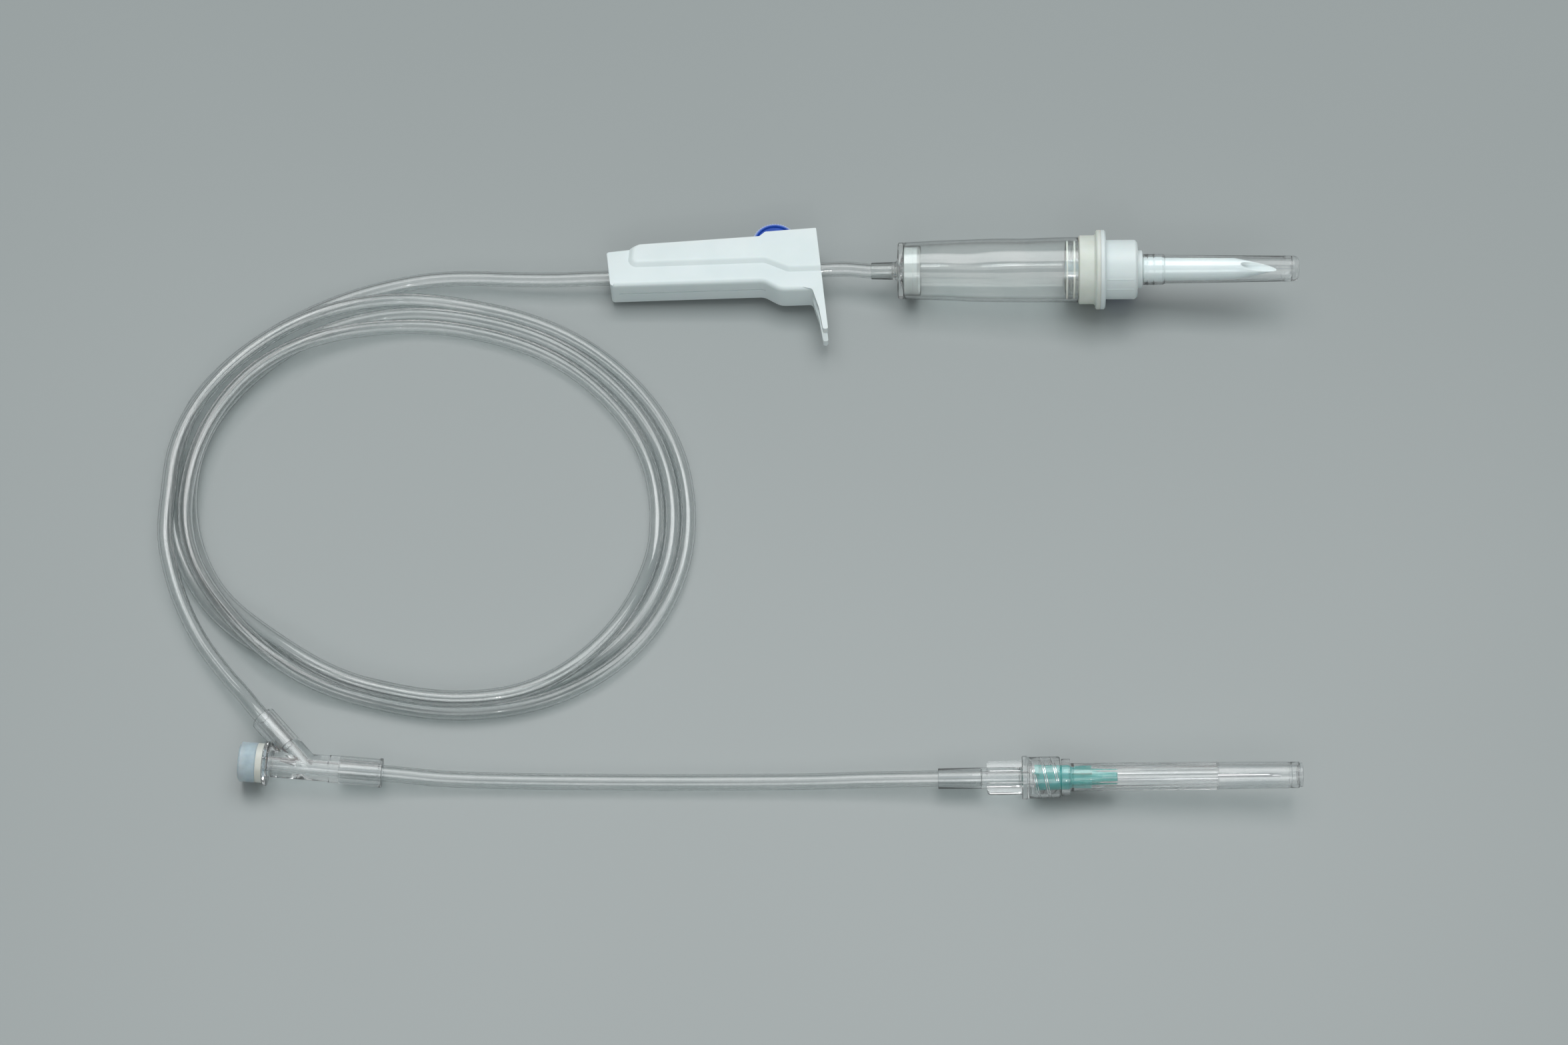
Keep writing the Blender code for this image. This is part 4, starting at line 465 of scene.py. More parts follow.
def finished(name, shape, place, body, material, nodes, edge=0.0):
    """Weld a shape made in millimetres, lay it in its place, and hand it to the frame."""
    bmesh.ops.remove_doubles(shape, verts=shape.verts, dist=WELD_DISTANCE)
    bmesh.ops.recalc_face_normals(shape, faces=shape.faces)
    bmesh.ops.transform(shape, matrix=place, verts=shape.verts)
    mesh = bpy.data.meshes.new(name)
    shape.to_mesh(mesh)
    shape.free()
    mesh.shade_smooth()
    mesh.materials.append(material)
    piece = bpy.data.objects.new(name, mesh)
    bpy.context.collection.objects.link(piece)
    if edge > 0:
        soft = piece.modifiers.new("soft_edges", "BEVEL")
        soft.width = edge * MM
        soft.segments = 2
        soft.limit_method = "ANGLE"
        soft.angle_limit = BEVEL_ANGLE
        soft.harden_normals = True
    else:
        mesh.set_sharp_from_angle(angle=SHARP_ANGLE)
    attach(piece, body)
    if nodes:
        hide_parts(*nodes)
    return piece


soft_pvc = plastic("soft_pvc", (0.91, 0.935, 0.93), (0.97, 0.975, 0.97), patch=9.0,
                   roughness=(0.03, 0.08), grain=2.5, relief=0.003, Transmission_Weight=0.97, IOR=1.53)
# The edge colour here is painted shade along the chamber's outline.
make_clear(soft_pvc, shade=(0.80, 0.82, 0.82), edge=(0.03, 0.035, 0.035), painted_shade_start=0.48)

finished("base_cup", spun([
    (OUTLET_MOUTH, 1.95), (OUTLET_MOUTH, 2.12), (-52.05, 2.3, 1.0), (-51.45, 3.0), (-51.45, 6.95),
    (-51.15, 7.25), (-49.95, 7.25), (-49.95, 6.42), (-45.8, 6.42), (-45.65, 6.36), (-45.65, 6.3),
    (-49.8, 6.3), (-51.0, 1.15), (-52.75, 1.15), (-52.75, 1.95),
]), chamber_place, "set", soft_pvc, ["chamber_base"])


# Fluid filter: a white moulded cup that sits loose in the base, with a fine woven
# mesh across its outlet side.
filter_white = plastic("filter_white", (0.84, 0.85, 0.83), (0.92, 0.93, 0.91), patch=1.0,
                       roughness=(0.55, 0.75), grain=0.25, relief=0.03, Subsurface_Weight=0.15)
finished("filter_cup", spun([
    (-49.7, 0.0), (-49.7, 6.05), (-49.5, 6.25), (-47.9, 6.25), (-47.9, 6.1), (-47.5, 6.1), (-47.5, 6.25),
    (-46.4, 6.25), (-46.4, 5.35), (-49.1, 5.35), (-49.1, 0.0),
], is_ring=False), chamber_place, "set", filter_white, ["fluid_filter"])


# Drip chamber: soft clear PVC sleeve, dip-moulded, widening to the cap and a little
# dented by handling. It is bonded over the base's spigot and the cap's spigot.
CHAMBER_END = -49.8
CHAMBER_LENGTH = 44.2
CHAMBER_STEPS = 44
CHAMBER_WALL = 0.8
CAP_END_RADIUS = 8.3
BASE_END_NARROWING = 1.05
DENT_LENGTH = 5.5
DENT_TURN = 0.55
CHAMBER_DENTS = [
    (-34.0, 100.0, 0.30),
    (-24.0, 62.0, 0.16),
    (-19.0, 150.0, 0.22),
    (-30.0, 205.0, 0.20),
    (-14.0, 300.0, 0.15),
    (-40.0, 330.0, 0.12),
]


def chamber_radius(x):
    """The chamber stays wide from the cap on, and narrows mostly near the base."""
    along = (x - CHAMBER_END) / CHAMBER_LENGTH
    return CAP_END_RADIUS - BASE_END_NARROWING * (1.0 - along)**2.2


chamber_stations = [CHAMBER_END + CHAMBER_LENGTH * step / CHAMBER_STEPS
                    for step in range(CHAMBER_STEPS + 1)]
chamber_outside = [(x, chamber_radius(x)) for x in chamber_stations]
chamber_inside = [(x, chamber_radius(x) - CHAMBER_WALL) for x in reversed(chamber_stations)]
chamber_shape = spun(chamber_outside + chamber_inside, radius=0.1)
for dent_x, dent_turn, dent_depth in CHAMBER_DENTS:
    for vert in chamber_shape.verts:
        radius = math.hypot(vert.co.y, vert.co.z)
        turn = math.radians(dent_turn) - math.atan2(vert.co.z, -vert.co.y)
        off_x = (vert.co.x - dent_x) / DENT_LENGTH
        off_turn = math.atan2(math.sin(turn), math.cos(turn)) / DENT_TURN
        scale = 1.0 - dent_depth * math.exp(-off_x**2 - off_turn**2) / radius
        vert.co.y *= scale
        vert.co.z *= scale
finished("drip_chamber_wall", chamber_shape, chamber_place, "set", soft_pvc, ["drip_chamber"])


# Chamber cap: half of the flange in one with a ring, in cream polyethylene. Its spigot
# looks clear inside the chamber's end, with two beads of bonding cement round it.
SPIGOT_ROOT = -5.6
SPIGOT_SKIN = 7.32
cream_pe = plastic("cream_pe", (0.79, 0.795, 0.70), (0.85, 0.855, 0.77), patch=4.0,
                   roughness=(0.34, 0.50), grain=0.6, relief=0.03, Subsurface_Weight=0.2, IOR=1.5)
cap_shape = spun([
    (-8.95, 6.6), (-8.95, 7.1), (-8.7, 7.3), (-8.45, 7.42), (-8.2, 7.3), (-6.9, 7.3), (-6.65, 7.42),
    (-6.4, 7.3), (-5.45, 7.3), (-5.45, 8.5), (-5.2, 8.75), (-1.65, 8.75, 0.5), (-1.25, 9.15),
    (-1.25, 9.75), (-0.9, 10.1), (-0.01, 10.1), (-0.01, 3.6), (-1.5, 3.6), (-1.5, 6.6), (SPIGOT_ROOT, 6.6),
])
for face in cap_shape.faces:
    middle = face.calc_center_median()
    if middle.x < SPIGOT_ROOT and math.hypot(middle.y, middle.z) < SPIGOT_SKIN:
        face.material_index = 1
chamber_cap = finished("cap_and_flange", cap_shape, chamber_place, "set", cream_pe,
                       ["chamber_cap"])
chamber_cap.data.materials.append(soft_pvc)


# Drip tip: translucent white nozzle that forms the drops. Its collar is held
# between the cap's end wall and the spike moulding.
nozzle_white = plastic("nozzle_white", (0.72, 0.77, 0.77), (0.82, 0.86, 0.86), patch=3.0,
                       roughness=(0.22, 0.36), grain=0.5, relief=0.02, Subsurface_Weight=0.4, IOR=1.5)
finished("drop_nozzle", spun([
    (-8.95, 1.9), (-8.95, 2.4), (-2.8, 3.0), (-2.8, 4.5), (-1.8, 4.5), (-1.8, 3.3), (0.9, 3.3), (0.9, 0.9),
    (-7.95, 0.9),
]), chamber_place, "set", nozzle_white, ["drip_tip"])


# Spike: rigid white moulding, half of the flange in one with the vented hub, the
# neck and the closure-piercing spike. The hub has two fine ridges on its side and the
# air vent's recess underneath, and two channels run to the slanted point.
def rod(start, end, radius, turns=64):
    """A plain round bar between two points, in millimetres."""
    start = Vector(start)
    end = Vector(end)
    turn = (end - start).to_track_quat("Z", "Y").to_matrix().to_4x4()
    shape = bmesh.new()
    bmesh.ops.create_cone(shape, cap_ends=True, segments=turns, radius1=radius, radius2=radius,
                          depth=(end - start).length, matrix=Matrix.Translation((start + end) / 2) @ turn)
    return shape


def block(centre, size, turn=Matrix.Identity(4)):
    shape = bmesh.new()
    matrix = Matrix.Translation(centre) @ turn @ Matrix.Diagonal((*size, 1.0))
    bmesh.ops.create_cube(shape, size=1.0, matrix=matrix)
    return shape


def worked(shape, steps):
    """Join tool shapes to a shape, or cut them away, one after another."""
    tools = []
    for tool_shape in [shape, *[step[1] for step in steps]]:
        bmesh.ops.recalc_face_normals(tool_shape, faces=tool_shape.faces)
        mesh = bpy.data.meshes.new("tool")
        tool_shape.to_mesh(mesh)
        tool_shape.free()
        tool = bpy.data.objects.new("tool", mesh)
        bpy.context.collection.objects.link(tool)
        tools.append(tool)
    for (operation, _), tool in zip(steps, tools[1:]):
        boolean = tools[0].modifiers.new("step", "BOOLEAN")
        boolean.operation = operation
        boolean.solver = "EXACT"
        boolean.object = tool
    bpy.context.view_layer.update()
    made = bpy.data.meshes.new_from_object(tools[0].evaluated_get(bpy.context.evaluated_depsgraph_get()))
    result = bmesh.new()
    result.from_mesh(made)
    for tool in tools:
        bpy.data.objects.remove(tool)
    bpy.data.meshes.remove(made)
    return result


white_abs = plastic("white_abs", (0.76, 0.84, 0.84), (0.80, 0.87, 0.87), patch=9.0,
                    roughness=(0.36, 0.43), grain=0.7, relief=0.0012, Subsurface_Weight=0.08, IOR=1.52)

SPIKE_TIP = 44.95
SPIKE_RADIUS = 2.8
POINT_ANGLE = math.radians(15.0)
VENT_HUB_RADIUS = 7.55
HUB_MARK_TURNS = (-33.6, -11.6)
HUB_MARK_X = 5.0
HUB_MARK_SIZE = (6.8, 0.12, 0.14)
FLUID_CHANNEL_HEIGHT = 0.9
FLUID_CHANNEL_RADIUS = 1.15
AIR_CHANNEL_HEIGHT = -1.3
AIR_CHANNEL_RADIUS = 0.55
VENT_X = 5.05
VENT_FACE = 6.9
VENT_FLAT = (9.4, 7.4, 15.1)
past_tip = SPIKE_TIP + 1.0

spike_shape = spun([
    (1.2, 0.0), (1.2, 3.6), (0.01, 3.6), (0.01, 10.1), (0.9, 10.1), (1.25, 9.75),
    (1.25, VENT_HUB_RADIUS, 0.3), (8.75, VENT_HUB_RADIUS, 0.5), (9.35, 6.95), (9.35, 4.85, 0.2),
    (10.45, 4.85), (10.65, 4.65), (10.65, 3.2), (15.55, 3.2), (15.85, 2.95),
    (SPIKE_TIP - 11.0, SPIKE_RADIUS, 3.0), (SPIKE_TIP, 0.5), (SPIKE_TIP, 0.0),
], is_ring=False)
bevel_turn = Matrix.Rotation(POINT_ANGLE, 4, "Y")
bevel_middle = Vector((SPIKE_TIP, 0.0, -0.5)) + bevel_turn @ Vector((0.0, 0.0, SPIKE_RADIUS))
spike_steps = []
for mark_turn in HUB_MARK_TURNS:
    turned = Matrix.Rotation(math.radians(mark_turn), 4, "X")
    mark_middle = turned @ Vector((HUB_MARK_X, -VENT_HUB_RADIUS, 0.0))
    spike_steps.append(("UNION", block(mark_middle, HUB_MARK_SIZE, turned)))
spike_steps += [
    ("DIFFERENCE", block(bevel_middle, (44.0, 2 * SPIKE_RADIUS, 2 * SPIKE_RADIUS), bevel_turn)),
    ("DIFFERENCE", rod((0.0, 0.0, FLUID_CHANNEL_HEIGHT), (past_tip, 0.0, FLUID_CHANNEL_HEIGHT),
                       FLUID_CHANNEL_RADIUS, 32)),
    ("DIFFERENCE", rod((VENT_X - 0.4, 0.0, AIR_CHANNEL_HEIGHT), (past_tip, 0.0, AIR_CHANNEL_HEIGHT),
                       AIR_CHANNEL_RADIUS, 24)),
    ("DIFFERENCE", block((VENT_X + 1.0, 0.0, -VENT_FACE - VENT_FLAT[2] / 2), VENT_FLAT)),
    ("DIFFERENCE", rod((VENT_X, 0.0, -VENT_FLAT[2]), (VENT_X, 0.0, 1.8 - VENT_FACE), 2.4)),
    ("DIFFERENCE", rod((VENT_X, 0.0, -VENT_FLAT[2]), (VENT_X, 0.0, AIR_CHANNEL_HEIGHT),
                       AIR_CHANNEL_RADIUS, 24)),
]
finished("vented_spike", worked(spike_shape, spike_steps), chamber_place, "set", white_abs,
         ["spike"], edge=0.08)


# Air vent: a disc of matt white filter membrane in the hub's recess, under a dark
# blue snap cap that hangs on its own short strap.
membrane_shape = rod((VENT_X, 0.0, 1.0 - VENT_FACE), (VENT_X, 0.0, 1.5 - VENT_FACE), 2.25)
finished("vent_membrane", membrane_shape, chamber_place, "set", filter_white,
         ["vent_filter"], edge=0.05)
vent_blue = plastic("vent_blue", (0.022, 0.075, 0.46), (0.035, 0.115, 0.58), patch=2.0,
                    roughness=(0.28, 0.42), grain=0.4, relief=0.02)
vent_top = VENT_FACE + 0.3
vent_shape = spun([
    (0.6 - vent_top, 0.0), (0.6 - vent_top, 2.0), (0.5 - vent_top, 2.1), (-vent_top, 2.1),
    (-vent_top, 3.2), (-vent_top - 0.9, 3.2), (-vent_top - 1.2, 2.9), (-vent_top - 1.2, 1.2),
    (-vent_top - 1.0, 1.0), (-vent_top - 1.0, 0.0),
], is_ring=False, turns=64)
vent_turn = Matrix.Translation((VENT_X, 0.0, 0.0)) @ Matrix.Rotation(-math.pi / 2, 4, "Y")
bmesh.ops.transform(vent_shape, matrix=vent_turn, verts=vent_shape.verts)
vent_shape = worked(vent_shape, [
    ("UNION", block((VENT_X + 2.9, 0.0, -vent_top - 0.25), (2.6, 2.4, 0.5))),
])
finished("vent_snap_cap", vent_shape, chamber_place, "vent_cap", vent_blue, ["vent_cap"],
         edge=0.06)


# Spike cap: polished clear sheath that is pushed over the collar. Its mouth has two
# beads, and a fine ring lies near its closed end.
rigid_clear = plastic("rigid_clear", (0.93, 0.95, 0.955), (0.975, 0.98, 0.98), patch=8.0,
                      roughness=(0.015, 0.05), grain=1.5, relief=0.0006, Transmission_Weight=0.97,
                      IOR=1.55)
# The edge colour here is painted shade along the mouldings' outlines.
make_clear(rigid_clear, shade=(0.82, 0.84, 0.84), edge=(0.07, 0.08, 0.085), painted_shade_start=0.58)
finished("spike_sheath", spun([
    (10.95, 3.9), (11.8, 3.9), (12.01, 4.02, 0.1), (12.22, 3.9), (13.4, 3.9), (13.6, 4.02, 0.1),
    (13.8, 3.9), (15.95, 3.9), (16.25, 3.65, 0.5), (46.45, 3.28), (46.55, 3.33), (46.85, 3.33),
    (46.95, 3.27), (50.25, 3.25, 1.4), (50.25, 0.0), (48.5, 0.0), (48.5, 2.6, 0.4), (16.25, 3.15, 0.3),
    (15.95, 3.4, 0.3), (10.95, 3.4),
], radius=0.08), chamber_place, "spike_cap", rigid_clear, ["spike_cap"])


# Roller clamp housing: one white moulding. A channel holds the tube, raised panels
# with soft slopes cover the blind tracks, and the end plate carries two hanger prongs.
CLAMP_LENGTH = 54.0
CLAMP_TOP = 11.0
CLAMP_BACK = 7.6
CLAMP_HALF = 3.7
RIM_END = 53.9
PANEL_HALF = 4.6
PANEL_SLOPE = 1.1
CHANNEL_HALF = 2.5
TRACK_HALF = 3.4
TRACK_RADIUS = 1.25
TRACK_STEPS = 24
SLOT_WIDTH = 3.5
plate_lean = math.tan(math.radians(4.2))
prong_tip = -CLAMP_BACK - 12.7


def plate_face(y, inward=0.0):
    """Where the leaning outer face of the end plate lies, less a depth into the plate."""
    return CLAMP_LENGTH + plate_lean * (CLAMP_TOP - y) - inward


CLAMP_SIDE = [
    (0.0, 6.1, 0.8), (6.2, 6.7, 1.5), (8.6, 7.5, 1.5), (39.4, 8.9, 0.8), (40.9, 10.3, 0.9),
    (plate_face(CLAMP_TOP), CLAMP_TOP, 0.3), (plate_face(-CLAMP_BACK), -CLAMP_BACK, 0.0),
    (44.4, -CLAMP_BACK, 4.5), (40.2, -4.7, 3.5), (1.2, -4.7, 1.0),
]


def raised(outline, low, high):
    """Raise an outline in X and Y from one height to another."""
    shape = bmesh.new()
    base = shape.faces.new([shape.verts.new((point[0], point[1], low)) for point in outline])
    lifted = bmesh.ops.extrude_face_region(shape, geom=[base])["geom"]
    lifted_verts = [item for item in lifted if isinstance(item, bmesh.types.BMVert)]
    bmesh.ops.translate(shape, verts=lifted_verts, vec=(0.0, 0.0, high - low))
    return shape


def soften_rims(shape, width, is_wanted, segments=4):
    """Round those level edges whose middle point is wanted."""
    rims = [item for item in shape.edges
            if abs(item.verts[0].co.z - item.verts[1].co.z) < 1e-4
            and is_wanted((item.verts[0].co + item.verts[1].co) / 2)]
    bmesh.ops.bevel(shape, geom=rims, offset=width, segments=segments, profile=0.5,
                    affect="EDGES", material=-1)


def is_back_rim(middle):
    """The upper rim along the housing's back, which has the broad rounding."""
    return middle.z > 0 and middle.y < -4.4 and 2.0 < middle.x < RIM_END


def is_other_rim(middle):
    """The rest of the housing's side rims, short of the end plate."""
    is_side = abs(middle.z) > CLAMP_HALF - 0.01 and middle.x < RIM_END
    return is_side and (middle.z < 0 or middle.y > -3.0)


def is_panel_rim(middle):
    return abs(middle.z) > PANEL_HALF - 0.01


clamp_outline = rounded(CLAMP_SIDE, 0.0, steps=8)
clamp_shape = raised(clamp_outline, -CLAMP_HALF, CLAMP_HALF)
soften_rims(clamp_shape, 1.2, is_back_rim, segments=6)
soften_rims(clamp_shape, 0.35, is_other_rim)

panel_outline = rounded([
    (5.5, 0.9, 2.4), (6.1, 7.0, 2.0), (9.0, 9.8, 2.0), (9.0, 16.0, 0.0), (60.0, 16.0, 0.0),
    (60.0, -2.1, 0.0), (46.5, -2.1, 2.4), (40.6, 1.0, 2.4),
], 0.0, steps=8)
panel_shape = raised(panel_outline, -CLAMP_HALF, CLAMP_HALF)
bmesh.ops.recalc_face_normals(panel_shape, faces=panel_shape.faces)
panel_tops = [face for face in panel_shape.faces if abs(face.normal.z) > 0.9]
bmesh.ops.inset_region(panel_shape, faces=panel_tops, thickness=PANEL_SLOPE, use_even_offset=True)
for top in panel_tops:
    for vert in top.verts:
        vert.co.z = math.copysign(PANEL_HALF, vert.co.z)
panel_shape.normal_update()
soften_rims(panel_shape, 0.5, is_panel_rim)

# The panels end a hair inside the housing's outline, so that no two faces share a plane.
LIMIT_MIDDLE = (27.0, 2.0)
LIMIT_SCALE = (0.9992, 0.998)
panel_limit = raised(clamp_outline, -PANEL_HALF - 1.0, PANEL_HALF + 1.0)
for vert in panel_limit.verts:
    for axis, (middle, scale) in enumerate(zip(LIMIT_MIDDLE, LIMIT_SCALE)):
        vert.co[axis] = middle + (vert.co[axis] - middle) * scale
panel_shape = worked(panel_shape, [("INTERSECT", panel_limit)])

PLATE_INSET = 0.03
plate_shape = raised(rounded([
    (plate_face(2.0, PLATE_INSET), 2.0, 0.0),
    (plate_face(prong_tip, PLATE_INSET), prong_tip, 0.5),
    (plate_face(prong_tip, 1.3), prong_tip, 0.5),
    (plate_face(-CLAMP_BACK - 6.0, 1.7), -CLAMP_BACK - 6.0, 3.0),
    (plate_face(-CLAMP_BACK, 2.8), -CLAMP_BACK, 1.2),
    (CLAMP_LENGTH - 3.8, 0.6 - CLAMP_BACK, 0.0),
    (CLAMP_LENGTH - 1.6, 1.0 - CLAMP_BACK, 0.0),
    (CLAMP_LENGTH - 1.6, 2.0, 0.0),
], 0.0, steps=6), PLATE_INSET - CLAMP_HALF, CLAMP_HALF - PLATE_INSET)

SLOT_TOP = -CLAMP_BACK - 2.0
channel_outline = rounded([
    (-4.0, 13.6), (CLAMP_LENGTH + 4.0, 13.6), (CLAMP_LENGTH + 4.0, -5.2), (47.0, -5.2, 2.0),
    (40.4, -2.3, 2.0), (-4.0, -2.3),
], 0.0, steps=8)
PARKED = Vector((43.2, 9.1))
PINCHED = Vector((10.5, 4.6))
along_track = (PARKED - PINCHED).normalized()
track_outline = [centre + Matrix.Rotation(first + math.pi * step / TRACK_STEPS, 2)
                 @ along_track * TRACK_RADIUS
                 for centre, first in ((PARKED, -math.pi / 2), (PINCHED, math.pi / 2))
                 for step in range(TRACK_STEPS + 1)]
clamp_shape = worked(clamp_shape, [
    ("UNION", panel_shape),
    ("UNION", plate_shape),
    ("DIFFERENCE", block((CLAMP_LENGTH, SLOT_TOP - 6.7, 0.0), (11.2, 13.4, SLOT_WIDTH))),
    ("DIFFERENCE", rod((CLAMP_LENGTH - 5.6, SLOT_TOP, 0.0), (CLAMP_LENGTH + 5.6, SLOT_TOP, 0.0),
                       SLOT_WIDTH / 2)),
    ("DIFFERENCE", raised(channel_outline, -CHANNEL_HALF, CHANNEL_HALF)),
    ("DIFFERENCE", raised(track_outline, -TRACK_HALF, TRACK_HALF)),
    ("DIFFERENCE", block((22.0, -4.7, 0.0), (37.4, 0.7, 0.4))),
])
finished("clamp_housing_shell", clamp_shape, clamp_place, "clamp", white_abs,
         ["clamp_housing"], edge=0.12)


# Roller: blue wheel with fifty fine teeth and recessed faces. Its two stub pins run
# in the housing's tracks. Its colour turns pale towards the tooth tips, a painted highlight on the teeth.
ROLLER_RADIUS = 5.7
ROLLER_TEETH = 50
TOOTH_HALF_DEPTH = 0.11
# The painted highlight on the teeth grows pale between these two radii.
HIGHLIGHT_FROM = 4.9
HIGHLIGHT_TO = ROLLER_RADIUS - 0.15


def fluted(shape, count, half_depth, least_radius, start=-math.inf, end=math.inf):
    """Sink even flutes about the X axis into the skin that lies beyond a radius."""
    for vert in shape.verts:
        radius = math.hypot(vert.co.y, vert.co.z)
        if radius > least_radius and start < vert.co.x < end:
            wave = math.cos(math.atan2(vert.co.y, vert.co.z) * count)
            scale = 1.0 - half_depth * (1.0 - wave) / radius
            vert.co.y *= scale
            vert.co.z *= scale


roller_side = [(3.1, 0.0), (3.1, 1.1), (1.7, 1.1), (1.7, 4.5), (2.2, 4.7), (2.2, 5.4), (1.9, ROLLER_RADIUS)]
roller_shape = spun(roller_side + [(-x, radius) for x, radius in reversed(roller_side)], radius=0.1,
                    is_ring=False, turns=4 * ROLLER_TEETH)
fluted(roller_shape, ROLLER_TEETH, TOOTH_HALF_DEPTH, ROLLER_RADIUS - 0.35)
roller_turn = Matrix.Translation((*PARKED, 0.0)) @ Matrix.Rotation(math.pi / 2, 4, "Y")
bmesh.ops.transform(roller_shape, matrix=roller_turn, verts=roller_shape.verts)
roller_blue = plastic("roller_blue", (0.010, 0.072, 0.44), (0.018, 0.098, 0.54), patch=1.6,
                      roughness=(0.40, 0.55), grain=0.3, relief=0.02, Specular_IOR_Level=0.3)
blue_tree = roller_blue.node_tree
blue_shader = blue_tree.nodes["Principled BSDF"]
wheel_middle = clamp_place @ Vector((*PARKED, 0.0))
wheel_axis = (clamp_place.to_3x3() @ Vector((0.0, 0.0, 1.0))).normalized()
blue_place = add_node(blue_tree, "ShaderNodeTexCoord").outputs["Object"]
wheel_offset = add_node(blue_tree, "ShaderNodeVectorMath", {0: blue_place, 1: wheel_middle},
                        operation="SUBTRACT")
off_axis = add_node(blue_tree, "ShaderNodeVectorMath", {0: wheel_offset.outputs["Vector"], 1: wheel_axis},
                    operation="CROSS_PRODUCT")
off_distance = add_node(blue_tree, "ShaderNodeVectorMath", {0: off_axis.outputs["Vector"]},
                        operation="LENGTH")
# Painted highlight: the blue turns pale towards the tooth tips, by distance from the wheel's axis.
rim_highlight_mask = add_node(blue_tree, "ShaderNodeMapRange", {
    "Value": off_distance.outputs["Value"], "From Min": HIGHLIGHT_FROM * MM, "From Max": HIGHLIGHT_TO * MM})
blue_tone = blue_shader.inputs["Base Color"]
painted_tip_highlight = mixed_colour(blue_tree, rim_highlight_mask.outputs["Result"], blue_tone.links[0].from_socket,
                       (0.66, 0.77, 0.97, 1.0))
blue_tree.links.new(painted_tip_highlight, blue_tone)
finished("roller_wheel", roller_shape, clamp_place, "roller", roller_blue, ["roller"])


# Y site: polished clear moulding. The straight body takes the port cap at one end
# and the last tube at the other, and the slanted arm takes the tube from the coil.
SLEEVE_END = 27.1
Y_BODY_RADIUS = 3.1
BORE_RADIUS = 1.15
SOCKET_RADIUS = 2.1
SOCKET_DEPTH = 10.0
MARK_PLACE = (1.6, 3.9)
MARK_HALF_HEIGHT = 0.85
y_shape = spun([
    (-4.82, 0.0), (-4.82, 3.0), (-4.52, 3.3), (-0.42, 3.3), (-0.42, 5.05), (-0.22, 5.25), (0.42, 5.25),
    (0.42, Y_BODY_RADIUS, 0.3), (14.5, Y_BODY_RADIUS), (14.8, 3.25), (26.3, 3.25), (26.5, 3.45),
    (SLEEVE_END, 3.45), (SLEEVE_END, 0.0),
], is_ring=False)
web_outline = [(0.0, 0.0), (Y_ARM_FOOT, 0.0), (0.0, 0.9 * Y_ARM_FOOT)]
past_sleeve = (SLEEVE_END + 1.0, 0.0, 0.0)
past_arm = arm_point(Y_ARM_LENGTH + 1.0)
y_shape = worked(y_shape, [
    ("UNION", rod(arm_point(0.0), arm_point(Y_ARM_LENGTH), Y_BODY_RADIUS, ROUND_STEPS)),
    ("UNION", raised(web_outline, -0.6, 0.6)),
    ("UNION", rod((*MARK_PLACE, -MARK_HALF_HEIGHT), (*MARK_PLACE, MARK_HALF_HEIGHT), 0.9, 32)),
    ("DIFFERENCE", rod((-6.0, 0.0, 0.0), past_sleeve, BORE_RADIUS)),
    ("DIFFERENCE", rod((SLEEVE_END - SOCKET_DEPTH, 0.0, 0.0), past_sleeve, SOCKET_RADIUS)),
    ("DIFFERENCE", rod(arm_point(0.0), past_arm, BORE_RADIUS)),
    ("DIFFERENCE", rod(arm_point(Y_ARM_LENGTH - SOCKET_DEPTH), past_arm, SOCKET_RADIUS)),
])
finished("y_moulding", y_shape, y_place, "set", rigid_clear, ["y_body"], edge=0.1)


# Port cap: pale self-sealing rubber cup, pulled over the Y's neck up to the flange,
# with a cream shrink band round its mouth.
port_rubber = plastic("port_rubber", (0.43, 0.50, 0.54), (0.53, 0.60, 0.64), patch=2.5,
                      roughness=(0.42, 0.60), grain=0.35, relief=0.04, Subsurface_Weight=0.25)
PORT_MOUTH = -0.57
PORT_LENGTH = 5.6
port_end = PORT_MOUTH - PORT_LENGTH
finished("port_rubber_cup", spun([
    (port_end + 0.3, 0.0), (port_end + 0.3, 2.415), (port_end, 2.715), (port_end, 4.25),
    (port_end + 0.4, 4.65), (-2.37, 4.65), (-2.17, 4.45), (PORT_MOUTH, 4.45), (PORT_MOUTH, 3.45),
    (-4.97, 3.45), (-4.97, 0.0),
], radius=0.2, is_ring=False), y_place, "set", port_rubber, ["port_cap"])
finished("port_shrink_band", spun([
    (-2.1, 4.42), (-2.1, 4.62), (-0.62, 4.62), (-0.62, 4.42),
], radius=0.07), y_place, "set", cream_pe, [])


# Luer connector: polished clear moulding with a tube socket, two finger wings, a
# flange, and a lock collar with a two-start thread round the male cone.
FLANGE_HALF = 0.63
COLLAR_END = 8.23
CONE_END = COLLAR_END + 2.1
CONE_TIP_RADIUS = 1.95
CONE_SLOPE = 0.03
BODY_START = -8.73
WING_HALF_WIDTH = 4.15
WING_HALF_THICKNESS = 0.7
THREAD_START = 1.9
THREAD_RISE = 5.6
THREAD_ANGLE = math.radians(400.0)
THREAD_STEPS = 84


def cone_radius(x):
    """Radius of the standard six per cent cone."""
    return CONE_TIP_RADIUS + (CONE_END - x) * CONE_SLOPE


